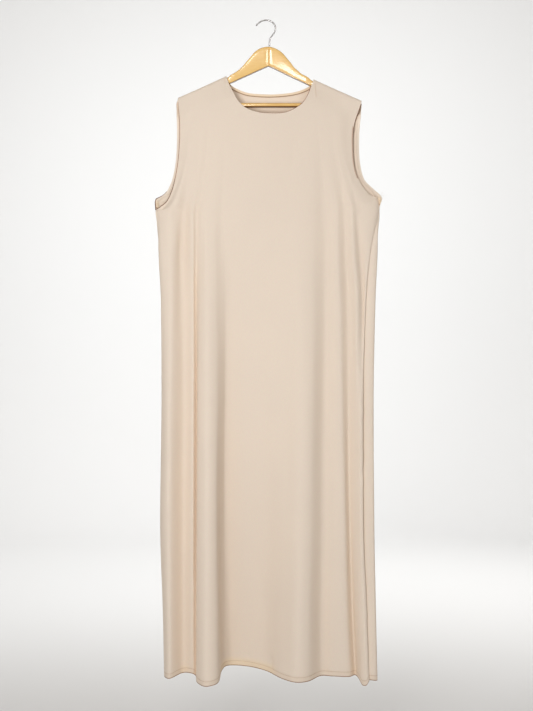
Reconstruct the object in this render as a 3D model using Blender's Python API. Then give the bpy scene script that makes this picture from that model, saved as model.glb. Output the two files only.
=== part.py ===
"""Sleeveless full-length abaya hanging on a contoured wooden hanger.

Units in the tables are millimetres; the meshes are made in metres. +X runs to the right as the garment
faces the viewer, +Z up, and the front faces -Y. The origin is the inside of the hook's top, where a rail
carries it. "Forward" is the distance in front of the rail's plane, so it is -Y.
"""
import bpy
import bmesh
import math
import numpy as np

MM = 0.001

# cloth
WALL = 1.4             # cloth and its backing, one wall
SEAM_GAP = 0.3         # between two panels at a seam, and between a facing and its panel
FACING_WALL = 1.0
NECK_FACING = 7.0      # width of the turned neck edge
ARMHOLE_FACING = 7.0   # width of the turned armhole edge
HEM_TURN = 11.0        # depth of the turned hem

# hanger
WOOD_CORNER = 4.2
UNDER_SEAM = 2.8       # how far the arm's top lies under the shoulder seam
ARM_SWEEP = 22.0       # how far the arm ends sweep forward
ARM_REACH = 205.0      # from the hanger's middle to an arm's end
HANGER_MIDDLE = 8.0
BAR_RADIUS = 5.4
BAR_FORWARD = 17.0
BAR_DOWN = 206.7
HEEL_INNER = (-172.0, 192.0)   # faces that the trouser bar butts against
TENON_RADIUS = 3.5
TENON_LENGTH = 10.0
WIRE_RADIUS = 1.75
FIT_GAP = 0.3

# shoulder seams: neck point and tip, across and up
LEFT_SHOULDER = ((-95, -134), (-209, -191))
RIGHT_SHOULDER = ((114, -142), (227, -198))
SEAM_OVER_ARM = 9.0    # how far the cloth wraps down before it leaves the arm's edge
WRAP_HALF = 8.3        # half the cloth's thickness over an arm
FRONT_HANG = 27.5      # how far the front hangs forward at the chest
BACK_HANG = 13.0       # how far the back hangs behind at the shoulder blades

# heights of the sections, from the underarm to the hem
LEVELS = (-461, -552, -671, -909, -1195, -1409, -1558)
HEM = LEVELS[-1]
CALF = LEVELS[-2]

# heights of the rows of faces
ROWS = (-478, -512, -552, -610, -671, -750, -830, -909, -1005, -1100, -1195, -1268, -1340, -1409,
        -1465, -1512, HEM + HEM_TURN, HEM)

# A panel is one piece of cloth, but its solid is parted by a hairline at these rows, from the underarm down
STRETCHES = ("upper", "middle", "lower")
PARTED_AT = (-478, -1005)

# Each line is one ridge or valley of the front, left to right: its name, how many columns of faces lie
# between it and the next, its height at the hem, then (across, forward) at each of LEVELS.
FRONT_FOLDS = (
    ("left_seam", 2, -1558, (-261, 8), (-255, 4), (-246, 0), (-243, -8), (-246, -14), (-240, -18), (-236, -22)),
    ("left_turn", 2, -1560, (-251, 13), (-256, 13), (-251, 13), (-249, 14), (-252, 20), (-245, 30), (-240, 42)),
    ("left_ridge", 3, -1556, (-233, 23), (-233, 28), (-233, 31), (-234, 41), (-232, 52), (-229, 59), (-226, 66)),
    ("left_slope", 2, -1553, (-195, 17), (-200, 14), (-203, 14), (-203, 16), (-202, 24), (-199, 33), (-193, 43)),
    ("left_rise", 1, -1554, (-176, 25), (-176, 24), (-176, 25), (-174, 27), (-173, 35), (-172, 42), (-170, 48)),
    ("pipe_crease", 2, -1556, (-164, 22), (-167, 20), (-168, 19), (-168, 20), (-164, 28), (-161, 34), (-158, 40)),
    ("pipe_edge", 3, -1559, (-156, 26), (-158, 27), (-161, 29), (-166, 36), (-167, 53), (-167, 64), (-166, 78)),
    ("pipe_front", 2, -1562, (-142, 28), (-142, 33), (-142, 40), (-141, 58), (-140, 79), (-139, 94), (-138, 112)),
    ("pipe_side", 2, -1560, (-128, 28), (-127, 31), (-126, 37), (-124, 52), (-122, 71), (-120, 84), (-118, 99)),
    ("recess_slope", 3, -1551, (-113, 26), (-113, 24), (-112, 25), (-110, 31), (-108, 39), (-106, 43), (-103, 44)),
    ("recess_left", 2, -1549, (-95, 27), (-93, 19), (-92, 12), (-91, 8), (-89, 6), (-86, 3), (-85, 1)),
    ("recess_deep", 3, -1551, (-47, 28), (-48, 18), (-48, 11), (-48, 5), (-48, 0), (-48, -3), (-48, -4)),
    ("swell_start", 3, -1554, (0, 28), (0, 22), (0, 16), (0, 13), (0, 11), (0, 13), (-1, 18)),
    ("swell_rise", 3, -1559, (43, 28), (43, 27), (43, 26), (43, 28), (43, 39), (42, 49), (40, 65)),
    ("swell_crest", 2, -1560, (81, 29), (81, 31), (80, 35), (80, 45), (78, 60), (77, 75), (76, 90)),
    ("swell_side", 3, -1559, (102, 28), (102, 30), (102, 34), (99, 44), (97, 59), (96, 73), (97, 86)),
    ("swell_slope", 2, -1556, (128, 24), (126, 22), (124, 22), (121, 27), (119, 38), (119, 47), (121, 56)),
    ("hollow_left", 2, -1556, (145, 26), (145, 20), (146, 14), (146, 13), (145, 21), (145, 29), (145, 39)),
    ("hollow_ridge", 2, -1556, (157, 28), (158, 23), (160, 17), (162, 16), (167, 21), (171, 27), (173, 35)),
    ("edge_crease", 2, -1556, (178, 23), (181, 16), (184, 11), (188, 12), (193, 19), (199, 25), (202, 34)),
    ("edge_rise", 3, -1558, (186, 26), (189, 22), (192, 20), (195, 26), (199, 38), (203, 49), (205, 72)),
    ("edge_pipe", 2, -1562, (195, 27), (199, 28), (203, 31), (206, 44), (212, 66), (217, 86), (221, 112)),
    ("edge_side", 2, -1559, (208, 19), (216, 15), (221, 17), (218, 36), (220, 58), (223, 79), (230, 107)),
    ("edge_fall", 1, -1557, (228, 23), (231, 22), (231, 21), (225, 28), (225, 49), (228, 69), (236, 100)),
    ("edge_lip", 1, -1555, (258, 14), (245, 20), (237, 19), (228, 24), (227, 45), (230, 65), (238, 97)),
    ("right_seam", 0, -1554, (271, 8), (249, 16), (240, 15), (231, 19), (229, 40), (232, 61), (239, 94)),
)

# The same for the back, which has its own, rounder folds.
BACK_FOLDS = (
    ("left_seam", 2, -1558, (-261, 8), (-255, 4), (-246, 0), (-243, -8), (-246, -14), (-240, -18), (-236, -22)),
    ("left_under", 2, -1558, (-246, -1), (-238, -5), (-234, -10), (-232, -20), (-235, -28), (-234, -37), (-232, -44)),
    ("left_fold", 3, -1560, (-212, -8), (-210, -13), (-210, -20), (-209, -31), (-212, -44), (-213, -54), (-214, -64)),
    ("left_dip", 3, -1556, (-169, -11), (-171, -15), (-172, -20), (-175, -25), (-177, -29), (-179, -31), (-180, -33)),
    ("second_fold", 3, -1561, (-129, -12), (-131, -18), (-133, -26), (-137, -40), (-140, -56), (-143, -70), (-146, -84)),
    ("second_dip", 3, -1556, (-77, -13), (-80, -17), (-82, -21), (-85, -27), (-88, -33), (-90, -37), (-93, -41)),
    ("middle_fold", 3, -1561, (-24, -13), (-27, -19), (-29, -27), (-32, -41), (-34, -57), (-37, -71), (-40, -85)),
    ("middle_dip", 3, -1556, (27, -13), (24, -17), (22, -21), (19, -26), (17, -31), (15, -35), (12, -39)),
    ("fourth_fold", 3, -1561, (80, -13), (77, -19), (75, -26), (73, -39), (71, -54), (69, -68), (67, -82)),
    ("fourth_dip", 3, -1556, (130, -12), (130, -16), (128, -20), (126, -25), (124, -29), (122, -32), (119, -36)),
    ("right_fold", 3, -1560, (176, -11), (176, -18), (175, -26), (173, -38), (171, -51), (172, -62), (172, -72)),
    ("right_dip", 3, -1557, (219, -8), (217, -12), (215, -18), (213, -24), (211, -29), (211, -30), (211, -28)),
    ("right_under", 3, -1557, (250, -5), (252, -4), (250, -9), (245, -12), (247, -12), (250, -4), (252, 12)),
    ("right_turn", 1, -1557, (266, -3), (263, 6), (258, 6), (254, 4), (256, 16), (259, 34), (261, 60)),
    ("strip_crest", 1, -1556, (271, 2), (259, 16), (250, 17), (242, 20), (242, 37), (245, 57), (249, 89)),
    ("right_seam", 0, -1554, (271, 8), (249, 16), (240, 15), (231, 19), (229, 40), (232, 61), (239, 94)),
)
FRONT_NECK_LINES = ("pipe_side", "swell_slope")    # the folds that run up to the two neck points
BACK_NECK_LINES = ("second_fold", "fourth_dip")

# Armhole edges from the side seam to just under the shoulder tip, (across, up). The first two points of
# each are the last of the side seam, which the front and the back share.
ARMHOLES = {
    "front_left": ((-260, -478), (-260, -446), (-241, -442), (-227, -425), (-214, -387), (-207, -340),
                   (-204, -290), (-204, -243), (-207, -203)),
    "back_left": ((-260, -478), (-260, -446), (-249, -421), (-233, -404), (-219, -374), (-212, -332),
                  (-209, -286), (-209, -240), (-210, -202)),
    "front_right": ((267, -478), (270, -446), (261, -431), (249, -421), (227, -387), (211, -342),
                    (207, -290), (213, -240), (223, -209)),
    "back_right": ((267, -478), (270, -446), (270, -424), (256, -408), (237, -380), (224, -335),
                   (222, -286), (225, -240), (227, -209)),
}

# how far up each of those rows stands between the underarm row and the shoulder, on the open cloth
YOKE_RISE = (0.0, 0.07, 0.11, 0.18, 0.33, 0.50, 0.68, 0.84, 1.0)
EDGE_REACH = (0.35, 0.12)    # share of the width over which an armhole's shape dies out, across and up
NECK_START = 0.021           # share of the neck edge that the first and last columns take over the wood

# Neck edges between the two neck points, (across, up)
NECKLINES = {
    "front": ((-95, -134), (-89, -153), (-78, -177), (-63, -202), (-44, -217), (-14, -226), (14, -228),
              (45, -226), (69, -216), (87, -203), (99, -184), (107, -163), (114, -142)),
    "back": ((-95, -134), (-89, -148), (-80, -156), (-66, -163), (-46, -170), (-19, -173), (10, -174),
             (46, -172), (73, -168), (92, -162), (107, -154), (114, -142)),
}

# Hanger wood from left to right: across, top edge, underside, half thickness. Under the cloth the top
# edge is given as a positive number, how far it lies under the shoulder seam.
WOOD_SECTIONS = (
    (-197, UNDER_SEAM + 8, -207, 3.2), (-194.5, UNDER_SEAM + 2.5, -212, 5.0), (-188, UNDER_SEAM, -215, 5.3),
    (-173.2, UNDER_SEAM, -215, 5.3), (HEEL_INNER[0], UNDER_SEAM, -193, 5.3), (-130, UNDER_SEAM, -173, 5.3),
    (-95, UNDER_SEAM + 2, -156, 5.3), (-90, -136.5, -154, 5.3), (-84, -131, -151, 5.7), (-77, -127, -148, 6), (-67, -120, -143, 6),
    (-58, -112, -138.5, 6), (-48, -100, -134, 6), (-38, -88, -129.5, 6), (-29, -77, -125, 6),
    (-19, -69, -120.5, 6), (-7, -64, -115, 6), (6, -62, -109.5, 6), (19, -65, -115, 6), (31, -71, -121, 6),
    (41, -79, -126, 6), (50, -90, -130.5, 6), (60, -102, -135.5, 6), (67, -112, -139, 6), (77, -121, -143.5, 6),
    (86, -129, -148, 6), (96, -134, -153, 6), (102, -138, -156, 5.7), (109, -144.5, -159, 5.3), (114, UNDER_SEAM + 2, -162, 5.3),
    (150, UNDER_SEAM, -179, 5.3), (HEEL_INNER[1], UNDER_SEAM, -199, 5.3), (193.2, UNDER_SEAM, -216, 5.3),
    (207, UNDER_SEAM, -216, 5.3), (213, UNDER_SEAM + 2.5, -214, 5.0), (215.5, UNDER_SEAM + 7, -209, 3.2),
)

# Hook wire's middle line from the tip to the shank's end in the wood, (across, up)
HOOK_ROUTE = ((-23.5, -11.5), (-18.5, -5.6), (-10.5, -0.6), (0, WIRE_RADIUS), (10, -0.2), (18, -6), (22.6, -14.5),
              (21.9, -24), (17.5, -32), (12, -39), (9, -47), (8.4, -56), (8.4, -70), (8.4, -84))


def clear_scene():
    for item in list(bpy.data.objects):
        bpy.data.objects.remove(item, do_unlink=True)


def material(name, colour, roughness, metallic=0.0):
    made = bpy.data.materials.new(name)
    made.use_nodes = True
    shader = made.node_tree.nodes["Principled BSDF"]
    shader.inputs["Base Color"].default_value = (*colour, 1.0)
    shader.inputs["Roughness"].default_value = roughness
    shader.inputs["Metallic"].default_value = metallic
    made.diffuse_color = (*colour, 1.0)
    return made


def smooth_step(value):
    value = np.clip(value, 0.0, 1.0)
    return value * value * (3.0 - 2.0 * value)


def steady_curve(places, values, wanted):
    """Cubic through (places, values) that never swings past them; places must rise."""
    places = np.asarray(places, float)
    values = np.asarray(values, float)
    widths = np.diff(places)
    rises = np.diff(values) / widths
    slopes = np.zeros(len(places))
    for i in range(1, len(places) - 1):
        if rises[i - 1] * rises[i] > 0:
            first = 2 * widths[i] + widths[i - 1]
            second = widths[i] + 2 * widths[i - 1]
            slopes[i] = (first + second) / (first / rises[i - 1] + second / rises[i])
    slopes[0] = rises[0]
    slopes[-1] = rises[-1]
    k = int(np.clip(np.searchsorted(places, wanted) - 1, 0, len(widths) - 1))
    t = (wanted - places[k]) / widths[k]
    return ((1 + 2 * t) * (1 - t) ** 2 * values[k] + t * (1 - t) ** 2 * widths[k] * slopes[k]
            + t * t * (3 - 2 * t) * values[k + 1] + t * t * (t - 1) * widths[k] * slopes[k + 1])


def flowing_line(points, steps):
    """Smooth line through the points, with steps[i] stretches between point i and the next."""
    points = np.asarray(points, float)
    count = len(points)
    spans = np.maximum(np.sqrt(np.linalg.norm(np.diff(points, axis=0), axis=1)), 1e-6)
    tangents = np.zeros_like(points)
    for i in range(1, count - 1):
        before = (points[i] - points[i - 1]) / spans[i - 1]
        after = (points[i + 1] - points[i]) / spans[i]
        tangents[i] = (before * spans[i] + after * spans[i - 1]) / (spans[i] + spans[i - 1])
    tangents[0] = (points[1] - points[0]) / spans[0]
    tangents[-1] = (points[-1] - points[-2]) / spans[-1]
    line = [points[0]]
    for i in range(count - 1):
        for step in range(1, steps[i] + 1):
            t = step / steps[i]
            line.append((1 + 2 * t) * (1 - t) ** 2 * points[i] + t * (1 - t) ** 2 * spans[i] * tangents[i]
                        + t * t * (3 - 2 * t) * points[i + 1] + t * t * (t - 1) * spans[i] * tangents[i + 1])
    return np.array(line)


def along(line, shares):
    """Points at the given shares of a line's length."""
    lengths = np.concatenate([[0], np.cumsum(np.linalg.norm(np.diff(line, axis=0), axis=1))])
    wanted = np.asarray(shares) * lengths[-1]
    return np.stack([np.interp(wanted, lengths, line[:, axis]) for axis in range(2)], axis=1)


def shoulder_height(across):
    (left_neck, left_tip), (right_neck, right_tip) = LEFT_SHOULDER, RIGHT_SHOULDER
    stations = (left_tip, left_neck, right_neck, right_tip)
    height = np.interp(across, [point[0] for point in stations], [point[1] for point in stations])
    return height


def arm_depth(across):
    """Y of the hanger's middle plane, which sweeps forward to the ends."""
    return -ARM_SWEEP * ((across - HANGER_MIDDLE) / ARM_REACH) ** 2


def yoke_depth(across, up, side):
    """Y of a panel's outer face above the underarm; side is -1 for the front, +1 for the back."""
    drop = np.maximum(shoulder_height(across) - up, 0.0)
    wrap = WRAP_HALF * np.sqrt(1.0 - np.clip(1.0 - drop / SEAM_OVER_ARM, 0.0, 1.0) ** 2)
    reach = np.abs(across - HANGER_MIDDLE)
    arm = arm_depth(across)
    if side < 0:
        hang = -FRONT_HANG + 20.0 * np.clip((reach - 190.0) / 82.0, 0.0, 1.0) ** 1.5
        beside_wood = np.minimum(hang, arm - WRAP_HALF)
        leave = (beside_wood - arm + WRAP_HALF) * smooth_step(drop / 65.0)
        return arm - wrap + leave + (hang - beside_wood) * smooth_step((drop - 38.0) / 70.0)
    hang = BACK_HANG - 21.0 * np.clip(reach / 272.0, 0.0, 1.0) ** 2.5
    lean = smooth_step(drop / 80.0)
    return arm + wrap + 1.2 * smooth_step(drop / 14.0) * (1.0 - lean) + (hang - arm - WRAP_HALF) * lean


def section_row(folds, height):
    """One row of a panel below the underarm, as (across, y, up) points."""
    steps = [fold[1] for fold in folds[:-1]]
    places = [-level for level in LEVELS]
    corners = []
    for fold in folds:
        across = steady_curve(places, [pair[0] for pair in fold[3:]], -height)
        forward = steady_curve(places, [pair[1] for pair in fold[3:]], -height)
        up = height
        if height < CALF:
            up = CALF + (fold[2] - CALF) * (height - CALF) / (HEM - CALF)
        corners.append((across, -forward, up))
    return flowing_line(corners, steps)


def neck_columns(folds, names):
    found = []
    for name in names:
        index = [fold[0] for fold in folds].index(name)
        found.append(sum(fold[1] for fold in folds[:index]))
    return found


def edge_insets(edge, width, side):
    """Points the given distance inside an edge, on the cloth's side of it."""
    run = np.gradient(edge, axis=0)
    run /= np.linalg.norm(run, axis=1)[:, None]
    return edge + np.stack([run[:, 1], -run[:, 0]], axis=1) * width * side


def yoke_grid(underarm, folds, neck_names, name, side):
    """Rows of a panel from the underarm row up to the shoulder and neck edge, (across, y, up)."""
    left = np.array(ARMHOLES[name + "_left"], float)
    right = np.array(ARMHOLES[name + "_right"], float)
    neck_left, neck_right = neck_columns(folds, neck_names)
    last = len(underarm) - 1

    # where each column ends on the top edge
    spacing = np.concatenate([[0], np.cumsum(np.linalg.norm(np.diff(underarm[:, :2], axis=0), axis=1))])
    top = np.zeros((last + 1, 2))
    share = (spacing[:neck_left + 1] / spacing[neck_left])[:, None]
    top[:neck_left + 1] = (1 - share) * np.array(LEFT_SHOULDER[1]) + share * np.array(LEFT_SHOULDER[0])
    share = ((spacing[neck_right:] - spacing[neck_right]) / (spacing[-1] - spacing[neck_right]))[:, None]
    top[neck_right:] = (1 - share) * np.array(RIGHT_SHOULDER[0]) + share * np.array(RIGHT_SHOULDER[1])
    neck_line = flowing_line(NECKLINES[name], [6] * (len(NECKLINES[name]) - 1))
    by_space = spacing[neck_left + 1:neck_right] - spacing[neck_left + 1]
    by_count = np.linspace(0, 1, neck_right - neck_left - 1)
    mixed = 0.4 * by_space / by_space[-1] + 0.6 * by_count
    neck = along(neck_line, np.concatenate([[0], NECK_START + (1 - 2 * NECK_START) * mixed, [1]]))
    top[neck_left:neck_right + 1] = neck

    # the row under the top edge: below the arm's rounded edge, or a facing's width inside the neck edge
    inset = top + np.array([0.0, -SEAM_OVER_ARM])
    inset[neck_left + 1:neck_right] = edge_insets(neck, NECK_FACING, 1)[1:-1]
    inset[neck_left] = top[neck_left] + np.array([-3.0, -8.5])
    inset[neck_right] = top[neck_right] + np.array([3.0, -8.5])
    inset[neck_left + 1] = (inset[neck_left] + inset[neck_left + 2]) / 2
    inset[neck_right - 1] = (inset[neck_right] + inset[neck_right - 2]) / 2
    inset[0] = left[-1]
    inset[-1] = right[-1]

    # the rest rises straight at first, then draws in to the shoulders; the armholes shape only what is near
    bottom = underarm[:, [0, 2]]
    u = spacing / spacing[-1]
    evenly = bottom[0] + u[:, None] * (bottom[-1] - bottom[0])
    near_left = np.stack([np.clip(1 - u / reach, 0, 1) ** 2 for reach in EDGE_REACH], axis=1)
    near_right = np.stack([np.clip(1 - (1 - u) / reach, 0, 1) ** 2 for reach in EDGE_REACH], axis=1)
    rows = []
    for k, rise in enumerate(YOKE_RISE):
        share = np.array([rise ** 1.5, rise])
        base = bottom + (evenly - bottom) * min(3.0 * rise, 1.0)
        row = (1 - share) * base + share * inset
        rows.append(row + near_left * (left[k] - row[0]) + near_right * (right[k] - row[-1]))
    rows = np.array(rows)

    # the column beside an armhole keeps a facing's width, and the next two share out what is left
    for edge, direction, first in ((left, 1, 0), (right, -1, last)):
        columns = [first + direction * step for step in range(1, 5)]
        beside = edge_insets(edge, ARMHOLE_FACING, direction)
        rows[2:-1, columns[0]] = beside[2:-1]
        rows[1, columns[0]] += 0.5 * (beside[1] - rows[1, columns[0]])
        whole = abs(spacing[columns[3]] - spacing[columns[0]])
        for column in columns[1:3]:
            share = abs(spacing[column] - spacing[columns[0]]) / whole
            rows[1:-1, column] = (1 - share) * rows[1:-1, columns[0]] + share * rows[1:-1, columns[3]]

    # three narrow rows wrap the top edge
    for share in (0.53, 0.87, 1.0):
        rows = np.concatenate([rows, [inset + (top - inset) * share]])

    # folds fade out upwards from the underarm row
    grid = []
    for k, row in enumerate(rows):
        v = min(k / (len(left) - 1), 1.0)
        ripple = underarm[:, 1] - yoke_depth(underarm[:, 0], underarm[:, 2], side)
        depth = yoke_depth(row[:, 0], row[:, 1], side) + ripple * (1 - smooth_step(v * 1.1)) ** 1.3
        grid.append(np.stack([row[:, 0], depth, row[:, 1]], axis=1))
    return np.array(grid)


def panel_grid(folds, neck_names, name, side):
    """All rows of a panel's outer face, from the hem up to the top edge."""
    body = np.array([section_row(folds, height) for height in reversed(ROWS)])
    yoke = yoke_grid(body[-1], folds, neck_names, name, side)
    return np.concatenate([body, yoke[1:]])


def grid_normals(grid, side):
    """Unit normals that point into the garment."""
    down = np.gradient(grid, axis=0)
    across = np.gradient(grid, axis=1)
    normals = np.cross(across, down) * side
    return normals / np.linalg.norm(normals, axis=2)[:, :, None]


def share_seams(front, back, front_in, back_in):
    """Give both panels one direction at their seams and part them by the seam gap."""
    seam_rows = len(ROWS) + 1          # the side seams end one row above the underarm row
    for column, toward in ((0, 1), (-1, -1)):
        beside = 1 if column == 0 else -2
        for k in range(seam_rows):
            middle = (front[k, column] + back[k, column]) / 2
            run = front[k, beside] - back[k, beside]
            run[2] = 0.0
            run /= np.linalg.norm(run)
            inward = np.array([-run[1], run[0], 0.0]) * toward
            front_in[k, column] = inward
            back_in[k, column] = inward
            front[k, column] = middle + run * SEAM_GAP / 2
            back[k, column] = middle - run * SEAM_GAP / 2
    for grid, normals, names, folds, way in ((front, front_in, FRONT_NECK_LINES, FRONT_FOLDS, -1),
                                             (back, back_in, BACK_NECK_LINES, BACK_FOLDS, 1)):
        neck_left, neck_right = neck_columns(folds, names)
        for column in list(range(neck_left + 1)) + list(range(neck_right, grid.shape[1])):
            normals[-1, column] = (0.0, 0.0, -1.0)
            grid[-1, column, 1] = arm_depth(grid[-1, column, 0]) + way * SEAM_GAP / 2


def wall_object(name, outer, inner, finish):
    """Closed wall between two grids of points, in millimetres."""
    rows, columns = outer.shape[:2]
    mesh = bmesh.new()
    faces_out = [[mesh.verts.new(point * MM) for point in row] for row in outer]
    faces_in = [[mesh.verts.new(point * MM) for point in row] for row in inner]
    for k in range(rows - 1):
        for j in range(columns - 1):
            for face in (faces_out, faces_in):     # the same diagonal on every layer keeps them parallel
                mesh.faces.new((face[k][j], face[k][j + 1], face[k + 1][j + 1]))
                mesh.faces.new((face[k][j], face[k + 1][j + 1], face[k + 1][j]))
    rim = [(0, j) for j in range(columns)] + [(k, columns - 1) for k in range(1, rows)]
    rim += [(rows - 1, j) for j in range(columns - 2, -1, -1)] + [(k, 0) for k in range(rows - 2, 0, -1)]
    for (k, j), (m, n) in zip(rim, rim[1:] + rim[:1]):
        mesh.faces.new((faces_out[m][n], faces_out[k][j], faces_in[k][j], faces_in[m][n]))
    bmesh.ops.recalc_face_normals(mesh, faces=mesh.faces)
    return object_from(name, mesh, finish)


def panel_objects(name, outer, inward, finish):
    """A panel in its stretches, top to bottom, with SEAM_GAP between one and the next."""
    ends = [len(outer) - 1] + [len(ROWS) - 1 - ROWS.index(height) for height in PARTED_AT] + [0]
    for stretch, (top, bottom) in zip(STRETCHES, zip(ends, ends[1:])):
        face = outer[bottom:top + 1].copy()
        for row, end in ((0, bottom), (-1, top)):
            if end in ends[1:-1]:
                step = (face[1] - face[0]) if row == 0 else (face[-2] - face[-1])
                face[row] += step / np.linalg.norm(step, axis=1)[:, None] * SEAM_GAP / 2
        wall_object("%s_%s" % (name, stretch), face, face + inward[bottom:top + 1] * WALL, finish)


def object_from(name, mesh, finish):
    data = bpy.data.meshes.new(name)
    mesh.to_mesh(data)
    mesh.free()
    data.shade_smooth()
    data.set_sharp_from_angle(angle=math.radians(40))
    data.materials.append(finish)
    made = bpy.data.objects.new(name, data)
    bpy.context.scene.collection.objects.link(made)
    return made


def facing(name, panel, normals, rows, columns, finish):
    """Turned edge that lies inside a panel, made from the panel's own points."""
    part = panel[rows, columns]
    inward = normals[rows, columns]
    start = WALL + SEAM_GAP
    return wall_object(name, part + inward * start, part + inward * (start + FACING_WALL), finish)


def lofted(name, rings, finish):
    """Closed solid through rings of equal point count, capped at both ends."""
    mesh = bmesh.new()
    loops = [[mesh.verts.new(point * MM) for point in ring] for ring in rings]
    for first, second in zip(loops, loops[1:]):
        for i in range(len(first)):
            j = (i + 1) % len(first)
            mesh.faces.new((first[i], first[j], second[j], second[i]))
    mesh.faces.new(loops[0])
    mesh.faces.new(loops[-1])
    bmesh.ops.recalc_face_normals(mesh, faces=mesh.faces)
    return object_from(name, mesh, finish)


def wood_ring(across, top, bottom, half):
    """Rounded rectangle across an arm of the hanger."""
    if top > 0:
        top = shoulder_height(across) - top
    corner = min(WOOD_CORNER, half * 0.8, (top - bottom) * 0.4)
    middle = arm_depth(across)
    ring = []
    for centre_y, centre_z, start in ((half - corner, top - corner, 0), (corner - half, top - corner, 90),
                                      (corner - half, bottom + corner, 180), (half - corner, bottom + corner, 270)):
        for turn in (0, 45, 90):
            angle = math.radians(start + turn)
            ring.append(np.array([across, middle + centre_y + corner * math.cos(angle),
                                  centre_z + corner * math.sin(angle)]))
    return ring


def cutter(name, radius, depth, location, turn):
    bpy.ops.mesh.primitive_cylinder_add(vertices=20, radius=radius * MM, depth=depth * MM,
                                        location=[value * MM for value in location], rotation=turn)
    tool = bpy.context.object
    tool.name = name
    tool.hide_render = True
    tool.display_type = "WIRE"
    return tool


def cut(target, tool):
    modifier = target.modifiers.new("cut_" + tool.name, "BOOLEAN")
    modifier.object = tool
    modifier.operation = "DIFFERENCE"
    modifier.solver = "EXACT"


def make_wood(finish):
    wood = lofted("hanger_wood", [wood_ring(*section) for section in WOOD_SECTIONS], finish)
    for side, face in zip((-1, 1), HEEL_INNER):
        depth = TENON_LENGTH + FIT_GAP
        centre = (face + side * depth / 2 - side * 2.0, -BAR_FORWARD, -BAR_DOWN)
        hole = cutter("tenon_hole_%s" % ("left" if side < 0 else "right"), TENON_RADIUS + FIT_GAP, depth + 4.0,
                      centre, (0, math.pi / 2, 0))
        cut(wood, hole)
    shank_end = HOOK_ROUTE[-1][1]
    top = -50.0
    shank_hole = cutter("shank_hole", WIRE_RADIUS + FIT_GAP, top - shank_end + FIT_GAP,
                        (HOOK_ROUTE[-1][0], 0, (top + shank_end - FIT_GAP) / 2), (0, 0, 0))
    cut(wood, shank_hole)


def make_bar(finish):
    sides = 24
    start = HEEL_INNER[0] + FIT_GAP
    end = HEEL_INNER[1] - FIT_GAP
    profile = ((start - TENON_LENGTH + 1, TENON_RADIUS - 0.6), (start - TENON_LENGTH + 2, TENON_RADIUS),
               (start, TENON_RADIUS), (start, BAR_RADIUS - 0.5), (start + 0.6, BAR_RADIUS),
               (end - 0.6, BAR_RADIUS), (end, BAR_RADIUS - 0.5), (end, TENON_RADIUS),
               (end + TENON_LENGTH - 2, TENON_RADIUS), (end + TENON_LENGTH - 1, TENON_RADIUS - 0.6))
    rings = []
    for across, radius in profile:
        turns = [2 * math.pi * i / sides for i in range(sides)]
        rings.append([np.array([across, -BAR_FORWARD + radius * math.cos(turn), -BAR_DOWN + radius * math.sin(turn)])
                      for turn in turns])
    lofted("hanger_bar", rings, finish)


def make_hook(finish):
    route = flowing_line([(across, 0.0, up) for across, up in HOOK_ROUTE], [3] * (len(HOOK_ROUTE) - 1))
    curve = bpy.data.curves.new("hook", "CURVE")
    curve.dimensions = "3D"
    curve.bevel_depth = WIRE_RADIUS * MM
    curve.bevel_resolution = 3
    curve.use_fill_caps = True
    spline = curve.splines.new("POLY")
    spline.points.add(len(route) - 1)
    for point, place in zip(spline.points, route):
        point.co = (*(place * MM), 1.0)
    curve.materials.append(finish)
    bpy.context.scene.collection.objects.link(bpy.data.objects.new("hook", curve))


def make_garment(cloth, facing_cloth):
    front = panel_grid(FRONT_FOLDS, FRONT_NECK_LINES, "front", -1)
    back = panel_grid(BACK_FOLDS, BACK_NECK_LINES, "back", 1)
    front_in = grid_normals(front, -1)
    back_in = grid_normals(back, 1)
    share_seams(front, back, front_in, back_in)
    panel_objects("front_panel", front, front_in, cloth)
    panel_objects("back_panel", back, back_in, cloth)

    last_front = front.shape[1] - 1
    last_back = back.shape[1] - 1
    hem_rows = slice(0, 2)
    facing("hem_turn_front", front, front_in, hem_rows, slice(1, last_front), facing_cloth)
    facing("hem_turn_back", back, back_in, hem_rows, slice(1, last_back), facing_cloth)
    top_rows = slice(front.shape[0] - 4, front.shape[0])
    neck_left, neck_right = neck_columns(FRONT_FOLDS, FRONT_NECK_LINES)
    facing("neck_facing_front", front, front_in, top_rows, slice(neck_left + 2, neck_right - 1), facing_cloth)
    neck_left, neck_right = neck_columns(BACK_FOLDS, BACK_NECK_LINES)
    facing("neck_facing_back", back, back_in, top_rows, slice(neck_left + 1, neck_right), facing_cloth)
    armhole_rows = slice(len(ROWS) + 1, front.shape[0] - 4)
    facing("armhole_facing_front_left", front, front_in, armhole_rows, slice(0, 2), facing_cloth)
    facing("armhole_facing_front_right", front, front_in, armhole_rows, slice(last_front - 1, None), facing_cloth)
    facing("armhole_facing_back_left", back, back_in, armhole_rows, slice(0, 2), facing_cloth)
    facing("armhole_facing_back_right", back, back_in, armhole_rows, slice(last_back - 1, None), facing_cloth)


def main():
    clear_scene()
    cloth = material("beige_crepe", (0.76, 0.66, 0.56), 0.85)
    facing_cloth = material("beige_crepe_facing", (0.74, 0.64, 0.53), 0.85)
    lacquer = material("honey_lacquered_wood", (0.86, 0.55, 0.20), 0.3)
    steel = material("bright_steel", (0.72, 0.72, 0.74), 0.25, 1.0)
    make_garment(cloth, facing_cloth)
    make_wood(lacquer)
    make_bar(lacquer)
    make_hook(steel)


main()
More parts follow.
